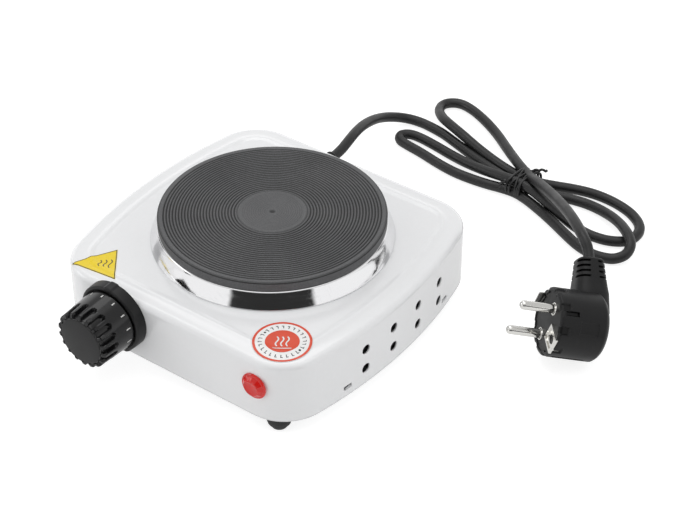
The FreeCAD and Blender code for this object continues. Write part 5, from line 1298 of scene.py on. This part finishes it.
class HOTPLATE_OT_labels(bpy.types.Operator):
    """Round red and white label, and yellow triangular label, with plain generic marks"""

    bl_idname = "hot_plate.labels"
    bl_label = "Labels"

    def execute(self, context):
        sizes = context.scene.hot_plate_casing
        panel = (WallOutline(sizes), sizes)
        self.round_label(panel)
        self.triangle_label(panel)
        return {"FINISHED"}

    def round_label(self, panel):
        """White disc with a red ring, a red middle, dark dashes between them, and three white waves over a bar."""
        radius = 15.0 * MM
        dash_radius = 0.735 * radius
        film = printed("round_label_film", [disc(0.0, radius, FILM_LIFT, panel)], "label_paper", thickness=FILM)
        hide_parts("round_label")
        ring = disc(0.90 * radius, 0.985 * radius, PRINT_LIFT, panel)
        printed("label_red_ring", [ring], "label_paper", "red_ink")
        printed("label_red_disc", [disc(0.0, 0.57 * radius, PRINT_LIFT, panel)], "label_paper", "red_ink")
        centre = ROUND_LABEL[:2]
        dashes = []
        t = np.linspace(-1, 1, 4)[:, None]
        for angle in np.radians(np.concatenate([np.arange(8, 168, 14.5), np.arange(188, 348, 14.5)])):
            out = np.array([math.cos(angle), math.sin(angle)])
            round_way = np.array([-out[1], out[0]])
            tall = centre + out * dash_radius
            foot = tall + round_way * 0.45 * MM + t * round_way * 0.5 * MM + out * 0.7 * MM
            dashes.append(ribbon(tall + t * out * 0.95 * MM, 0.42 * MM, panel))
            dashes.append(ribbon(foot, 0.38 * MM, panel))
        turn = np.linspace(0, FULL_TURN, 12, endpoint=False)
        for angle in (np.radians(178.0), np.radians(358.0)):
            spot = centre + dash_radius * np.array([math.cos(angle), math.sin(angle)])
            dot = spot + 0.3 * MM * np.stack([np.cos(turn), np.sin(turn)], axis=-1)
            dashes.append(ribbon(dot, 0.6 * MM, panel, loop=True))
        printed("label_dark_dashes", dashes, "label_paper", "ink")
        t = np.linspace(-1, 1, 24)
        waves = []
        for off in (-2.6, 0.0, 2.6):
            plan = np.stack([off + 0.7 * np.sin(t * math.pi), 3.6 * t], axis=-1) * MM
            waves.append(ribbon(centre + turned_plan(plan, 36.0), 0.75 * MM, panel, WHITE_LIFT))
        bar = np.stack([4.6 * t, np.full_like(t, -5.2)], axis=-1) * MM
        waves.append(ribbon(centre + turned_plan(bar, 36.0), 0.7 * MM, panel, WHITE_LIFT))
        printed("label_white_marks", waves, "label_paper")

    def triangle_label(self, panel):
        """Three-cornered sheet laid on the panel and bent over its edge, with a dark border and three waves.

        p = (1 - u) * a + u * ((1 - v) * b + v * c).
        """
        a, b, c = TRIANGLE_CORNERS + CASING_MIDDLE[:2]
        rows, columns = 40, 28
        u, v = np.linspace(0, 1, rows)[:, None, None], np.linspace(0, 1, columns)[None, :, None]
        plan = (1 - u) * a + u * ((1 - v) * b + v * c)
        ids = np.arange(rows * columns).reshape(rows, columns)
        ids[0] = ids[0, 0]
        sheet = (laid(plan, FILM_LIFT, panel), grid_quads(ids))
        film = printed("triangle_label_film", [sheet], "label_yellow", thickness=FILM)
        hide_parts("triangle_label")
        middle_xy = (a + b + c) / 3
        inset = middle_xy + (np.array([a, b, c]) - middle_xy) * 0.955
        t = np.linspace(-0.01, 1.01, 30)[:, None]
        sides = []
        for start, end in zip(inset, np.roll(inset, -1, axis=0)):
            sides.append(ribbon(start + (end - start) * t, 0.4 * MM, panel))
        way = (b + c) / 2 - a
        way /= np.linalg.norm(way)
        across = np.array([-way[1], way[0]])
        t = np.linspace(-1, 1, 20)[:, None]
        for off in (-2.7, 0.0, 2.7):
            base = middle_xy + way * (2.0 + off) * MM
            wave = base + across * 3.1 * MM * t * (1 + 0.05 * off) + way * 0.7 * MM * np.sin(t * math.pi)
            sides.append(ribbon(wave, 0.5 * MM, panel))
        printed("triangle_label_marks", sides, "label_yellow", "ink")


def turned_plan(plan, degrees):
    """Plan points turned about the origin."""
    angle = math.radians(degrees)
    turn = np.array([[math.cos(angle), math.sin(angle)], [-math.sin(angle), math.cos(angle)]])
    return plan @ turn


# ---------------------------------------------------------------- sleeve, tie and plug


class HOTPLATE_OT_sleeve(bpy.types.Operator):
    """Ribbed cord sleeve at the rear wall, and the wire tie round the loops"""

    bl_idname = "hot_plate.sleeve"
    bl_label = "Sleeve and tie"

    def execute(self, context):
        sizes = context.scene.hot_plate_cord
        cord = sizes.diameter / 2
        length, tip, base, flange = 22.0 * MM, 4.2 * MM, 6.3 * MM, 8.5 * MM
        along = np.linspace(2.6 * MM, length - 1.0 * MM, 90)
        taper = base + (tip - base) * (along - along[0]) / (along[-1] - along[0])
        rib = 0.5 * MM * smooth(np.cos(FULL_TURN * along / (3.1 * MM)), -0.35, 0.1)
        skin = np.stack([taper - 0.5 * MM + rib, along], axis=-1)
        root = rounded([(flange, 0.0, 0.3 * MM), (flange, 2.0 * MM, 0.6 * MM), (base, 2.1 * MM, 0.2 * MM)])
        inner_end = -7.0 * MM
        end = rounded(
            [
                (tip - 0.1 * MM, length, 0.4 * MM),
                (cord, length, 0.1 * MM),
                (cord, inner_end, 0.0),
                (base, inner_end, 0.0),
                (base, 0.0, 0.0),
            ]
        )
        outline = np.concatenate([root, skin, end])
        centre = (GLAND_MIDDLE[0], REAR_Y, GLAND_MIDDLE[2])
        points, quads = turned_surface(outline, centre, (0, 1, 0), turns=72)
        sleeve = make_piece("ribbed_sleeve", points, quads, "cord_black", sharp=40.0)
        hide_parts("cord_gland")

        low, high = (np.array(corner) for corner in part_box("cord_tie"))
        heart = (low + high) / 2
        half = (high - low) / 2
        wire = sizes.wire
        turn = np.linspace(0, FULL_TURN, 90)
        loops = []
        for shift, lean in TIE_TURNS:
            cos, sin = np.cos(turn), np.sin(turn)
            y = heart[1] + (half[1] - 0.6 * MM) * powered(cos, 0.8)
            z = heart[2] + (half[2] - wire) * powered(sin, 0.8)
            x = heart[0] + shift * MM + lean * MM * cos
            path = np.stack([x, y, z], axis=-1)
            outward = np.stack([0 * x, cos, sin], axis=-1)
            loops.append(tube_surface(path, wire, outward))
        t = np.linspace(0, 1, 24)
        for start, end, bow in TIE_ENDS:
            path = np.array(start) * (1 - t[:, None]) + np.array(end) * t[:, None]
            path[:, 2] += bow * np.sin(math.pi * t)
            path = path * MM + np.array([0.0, CASING_MIDDLE[1], 0.0])
            twist = np.stack([np.sin(18 * t), 0 * t, np.cos(18 * t)], axis=-1) * 0.45 * MM
            up = np.tile([0.0, 0.0, 1.0], (len(t), 1))
            loops.append(tube_surface(path + twist, wire, up))
        tie = make_piece("wire_tie", *joined(loops), "tie_black")
        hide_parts("cord_tie")
        return {"FINISHED"}


# Each turn of the tie: shift along the cord and lean, in millimetres.
TIE_TURNS = ((-3.4, 1.5), (-1.4, -2.6), (0.6, 3.4), (2.6, -1.0), (4.2, 1.8))
# Twisted ends of the tie: start, end and bow, in millimetres from the middle of the casing.
TIE_ENDS = (((56.0, 172.0, 12.2), (64.5, 178.0, 12.6), 0.8), ((50.0, 158.5, 11.5), (47.0, 152.5, 9.0), 1.0))


# Cuts in the plug's side: angle round it, half width in radians, start and end along the pins, and depth.
PLUG_CUTS = ((1.1, 0.045, -10.0, -2.5, 1.5), (-0.56, 0.05, -21.0, -3.0, 1.5), (0.72, 0.16, -21.0, -11.0, 0.45))


def plug_section(outline, cuts, around):
    """Circles across the pins: (x, radius * cos u, radius * sin u), with the depth of cuts(u, radius, x) taken off."""
    angle = np.linspace(0, FULL_TURN, around, endpoint=False)[None, :]
    x, radius = (np.repeat(column[:, None], around, axis=1) for column in outline.T)
    depth = cuts(angle, radius, x)
    points = plug_place(x, (radius - depth) * np.cos(angle), (radius - depth) * np.sin(angle))
    ids = closed_ends(np.arange(x.size).reshape(x.shape))
    return points.reshape(-1, 3), grid_quads(ids, wrap_columns=True), depth.reshape(-1)


class HOTPLATE_OT_plug(bpy.types.Operator):
    """Angled two-pin plug with its slotted relief and earth contacts"""

    bl_idname = "hot_plate.plug"
    bl_label = "Mains plug"

    def execute(self, context):
        self.body()
        self.neck()
        self.contacts()
        self.pins()
        return {"FINISHED"}

    def body(self):
        """Round moulded body: circles across the pins, with notches round the rim, grip slots and a contact bed."""
        depth, radius = PLUG_DEPTH, PLUG_RADIUS
        back = [(-depth, 0.0), (-depth, 6.0), (-depth, 11.0)]
        back += [(-depth + 0.1, 14.8), (-depth + 0.6, 16.0), (-depth + 1.6, 17.1)]
        skin = np.c_[np.linspace(-depth + 3.0, -1.4, 70), np.full(70, radius)]
        front = [(-0.6, 17.7), (-0.15, 17.1), (0.0, 16.4), (0.0, 15.9), (-0.5, 15.7), (-0.5, 12.0), (-0.5, 0.0)]
        outline = np.concatenate([back, skin, front])

        def cuts(angle, size, x):
            """Depth of the cuts, each a product of smooth steps round the plug and along it."""
            rim = smooth(x, -5.4, -5.0) * smooth(size, 12.0, 16.0)
            cut = 0.9 * smooth(np.cos(9 * angle + 1.1), 0.45, 0.7) * rim
            for where, half, start, end, deep in PLUG_CUTS:
                off = np.abs(np.mod(angle - where + math.pi, FULL_TURN) - math.pi)
                along = smooth(x, start, start + 0.4) * (1 - smooth(x, end - 0.4, end))
                cut = np.maximum(cut, deep * (1 - smooth(off, half, half + 0.03)) * along)
            bed = (1 - smooth(np.abs(np.sin(angle)), 0.24, 0.27)) * (np.cos(angle) < 0)
            bed = bed * smooth(x, -4.8, -4.4) * smooth(size, 15.0, 15.8)
            return np.maximum(cut, 1.9 * bed)

        points, quads, deep = plug_section(outline, cuts, around=300)
        # Painted shade: the rim notches, grip slots and contact bed are darkened by how deep they are cut.
        recess_shade = smooth(deep, 0.3, 1.2)
        body = make_piece("moulded_plug", points, quads, "cord_black", sharp=34.0, painted_shade=recess_shade)
        repaint(body, "bezel_black")
        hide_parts("plug_body")

    def neck(self):
        """Rounded oblong sections along the cord's line, with four slots round the relief between two spines."""
        way = np.concatenate([np.linspace(6.0, 24.0, 26), np.linspace(24.2, RELIEF_END, 120)])
        deep = np.interp(way, [6, 17, 21, 26, RELIEF_END - 0.8, RELIEF_END], [9.6, 9.4, 8.8, 8.2, 7.2, 6.5])
        tall = np.interp(way, [6, 17, 21, 26, RELIEF_END - 0.8, RELIEF_END], [9.6, 9.2, 8.4, 7.8, 6.8, 6.1])
        angle = np.linspace(0, FULL_TURN, 160, endpoint=False)[None, :]
        cos, sin = np.cos(angle), np.sin(angle)
        row = np.abs(np.mod(way - 25.2 + 1.45, 2.9) - 1.45)
        slots = (1 - smooth(row, 0.45, 0.6)) * smooth(way, 24.2, 24.4) * (1 - smooth(way, 34.8, 35.0))
        spine = smooth(np.abs(cos), 0.14, 0.2) * (1 - smooth(np.abs(cos), 0.985, 0.995))
        depth = 1 - 0.26 * slots[:, None] * spine
        ends = np.r_[0.0, np.ones(len(way) - 2), 0.0][:, None]
        x = deep[:, None] * depth * powered(cos, 0.62) * ends - NECK_BACK
        z = tall[:, None] * depth * powered(sin, 0.62) * ends
        points = neck_place(x, way[:, None] + 0 * x, z)
        quads = grid_quads(closed_ends(np.arange(x.size).reshape(x.shape)), wrap_columns=True)
        # Painted shade: the relief's slots are darkened inside.
        recess_shade = (slots[:, None] * spine).reshape(-1)
        relief = make_piece("slotted_relief", points, quads, "cord_black", sharp=34.0, painted_shade=recess_shade)
        repaint(relief, "bezel_black")
        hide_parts("plug_relief")

    def contacts(self):
        """Earth contacts: a framed plate with a hole, and two short strips over the rim.

        The plate's square border and its circle are joined by straight lines. A strip is a rounded square
        section carried along the pins.
        """
        turn = np.linspace(0, FULL_TURN, 64, endpoint=False)
        cos, sin = np.cos(turn), np.sin(turn)
        square = np.maximum(np.abs(cos), np.abs(sin))
        middle_y, half_y, half_z, hole = 11.9, 5.7, 5.0, 2.7
        outer = np.stack([middle_y + half_y * cos / square, half_z * sin / square], axis=-1)
        frame_line = np.stack([middle_y + 0.8 * half_y * cos / square, 0.8 * half_z * sin / square], axis=-1)
        inner = np.stack([middle_y + 0.4 + hole * cos, 0.85 * hole * sin], axis=-1)
        rows = np.stack([outer, outer, frame_line, frame_line, inner, inner])
        level = np.array([-0.4, 0.85, 0.85, 0.25, 0.25, -0.4])[:, None]
        plate = plug_place(level + 0 * rows[..., 0], rows[..., 0], rows[..., 1])
        ids = np.arange(len(rows) * len(turn)).reshape(len(rows), -1)
        surfaces = [(plate.reshape(-1, 3), grid_quads(ids, wrap_columns=True, wrap_rows=True))]
        along = np.array([-4.6, -4.6, -4.2, 0.4, 0.8, 0.8])
        grow = np.array([0.0, 0.9, 1.0, 1.0, 0.9, 0.0])[:, None]
        for side, reach in ((1.0, 0.0), (-1.0, 1.6)):
            y = side * (16.4 + 0.42 * grow * powered(cos, 0.4))
            z = 4.0 * grow * powered(sin, 0.4)
            x = (along + reach * (along > 0))[:, None]
            strip = plug_place(x + 0 * y, y, z).reshape(-1, 3)
            ids = closed_ends(np.arange(len(along) * len(turn)).reshape(len(along), -1))
            surfaces.append((strip, grid_quads(ids, wrap_columns=True)))
        contacts = make_piece("earth_contacts", *joined(surfaces), "nickel", sharp=25.0)
        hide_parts("plug_earth_clips")

    def pins(self):
        """Two round pins with domed tips, each with a thin raised seat at its foot."""
        radius, length, root = 2.4 * MM, 19.0 * MM, 6.0 * MM
        bend = np.linspace(0, math.pi / 2, 12)
        tip = np.stack([radius * np.cos(bend), length - radius + radius * np.sin(bend)], axis=-1)
        tip[-1, 0] = 0.0
        outline = np.concatenate([[(0.0, -root), (radius, -root)], tip])
        seat = np.array([(2.7, -0.6), (2.7, 0.3), (3.0, 0.55), (3.35, 0.3), (3.4, -0.6)]) * MM
        way = plug_place(1.0, 0.0) - plug_place(0.0, 0.0)
        surfaces = []
        for level in (-9.5, 9.5):
            centre = plug_place(0.0, 0.0, level)
            surfaces.append(turned_surface(outline, centre, way, turns=40, loop=False))
            surfaces.append(turned_surface(seat, centre, way, turns=40))
        pins = make_piece("contact_pins", *joined(surfaces), "nickel", sharp=40.0)
        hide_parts("plug_pins")


# ---------------------------------------------------------------- carried-over parts


class HOTPLATE_OT_inner_parts(bpy.types.Operator):
    """Finishes for the feet, base, heater, thermostat and wiring of the engineering model"""

    bl_idname = "hot_plate.inner_parts"
    bl_label = "Feet and inner parts"

    def execute(self, context):
        slots = {part["node"]: part["material_slot"] for part in frame["record"]["subparts"]}
        for name, node in frame["nodes"].items():
            node.data.materials.clear()
            node.data.materials.append(finishes()[slots[name]])
        return {"FINISHED"}


# ---------------------------------------------------------------- add-on


PIECE_OPERATORS = (
    HOTPLATE_OT_stage,
    HOTPLATE_OT_cord,
    HOTPLATE_OT_casing,
    HOTPLATE_OT_plate,
    HOTPLATE_OT_knob,
    HOTPLATE_OT_lens,
    HOTPLATE_OT_labels,
    HOTPLATE_OT_sleeve,
    HOTPLATE_OT_plug,
    HOTPLATE_OT_inner_parts,
)


class HOTPLATE_PT_panel(bpy.types.Panel):
    """Lists the sizes and the pieces"""

    bl_idname = "HOTPLATE_PT_panel"
    bl_label = "Hot plate burner"
    bl_space_type = "VIEW_3D"
    bl_region_type = "UI"
    bl_category = SIDEBAR_TAB

    def draw(self, context):
        for name, kind in SETTINGS.items():
            box = self.layout.box()
            box.label(text=kind.__doc__)
            for setting in kind.__annotations__:
                box.prop(getattr(context.scene, name), setting)
        for operator in PIECE_OPERATORS:
            self.layout.operator(operator.bl_idname)


def register():
    """Adds the settings, operators and panel."""
    for name, kind in SETTINGS.items():
        bpy.utils.register_class(kind)
        setattr(bpy.types.Scene, name, PointerProperty(type=kind))
    for kind in PIECE_OPERATORS + (HOTPLATE_PT_panel,):
        bpy.utils.register_class(kind)


def unregister():
    """Takes them away again, in the opposite order."""
    for kind in (HOTPLATE_PT_panel,) + PIECE_OPERATORS[::-1]:
        bpy.utils.unregister_class(kind)
    for name, kind in SETTINGS.items():
        delattr(bpy.types.Scene, name)
        bpy.utils.unregister_class(kind)


def main():
    """Makes every piece."""
    register()
    bpy.ops.hot_plate.stage()
    bpy.ops.hot_plate.cord()
    bpy.ops.hot_plate.casing()
    bpy.ops.hot_plate.plate()
    bpy.ops.hot_plate.knob()
    bpy.ops.hot_plate.lens()
    bpy.ops.hot_plate.labels()
    bpy.ops.hot_plate.sleeve()
    bpy.ops.hot_plate.plug()
    bpy.ops.hot_plate.inner_parts()


if __name__ == "__main__":
    main()
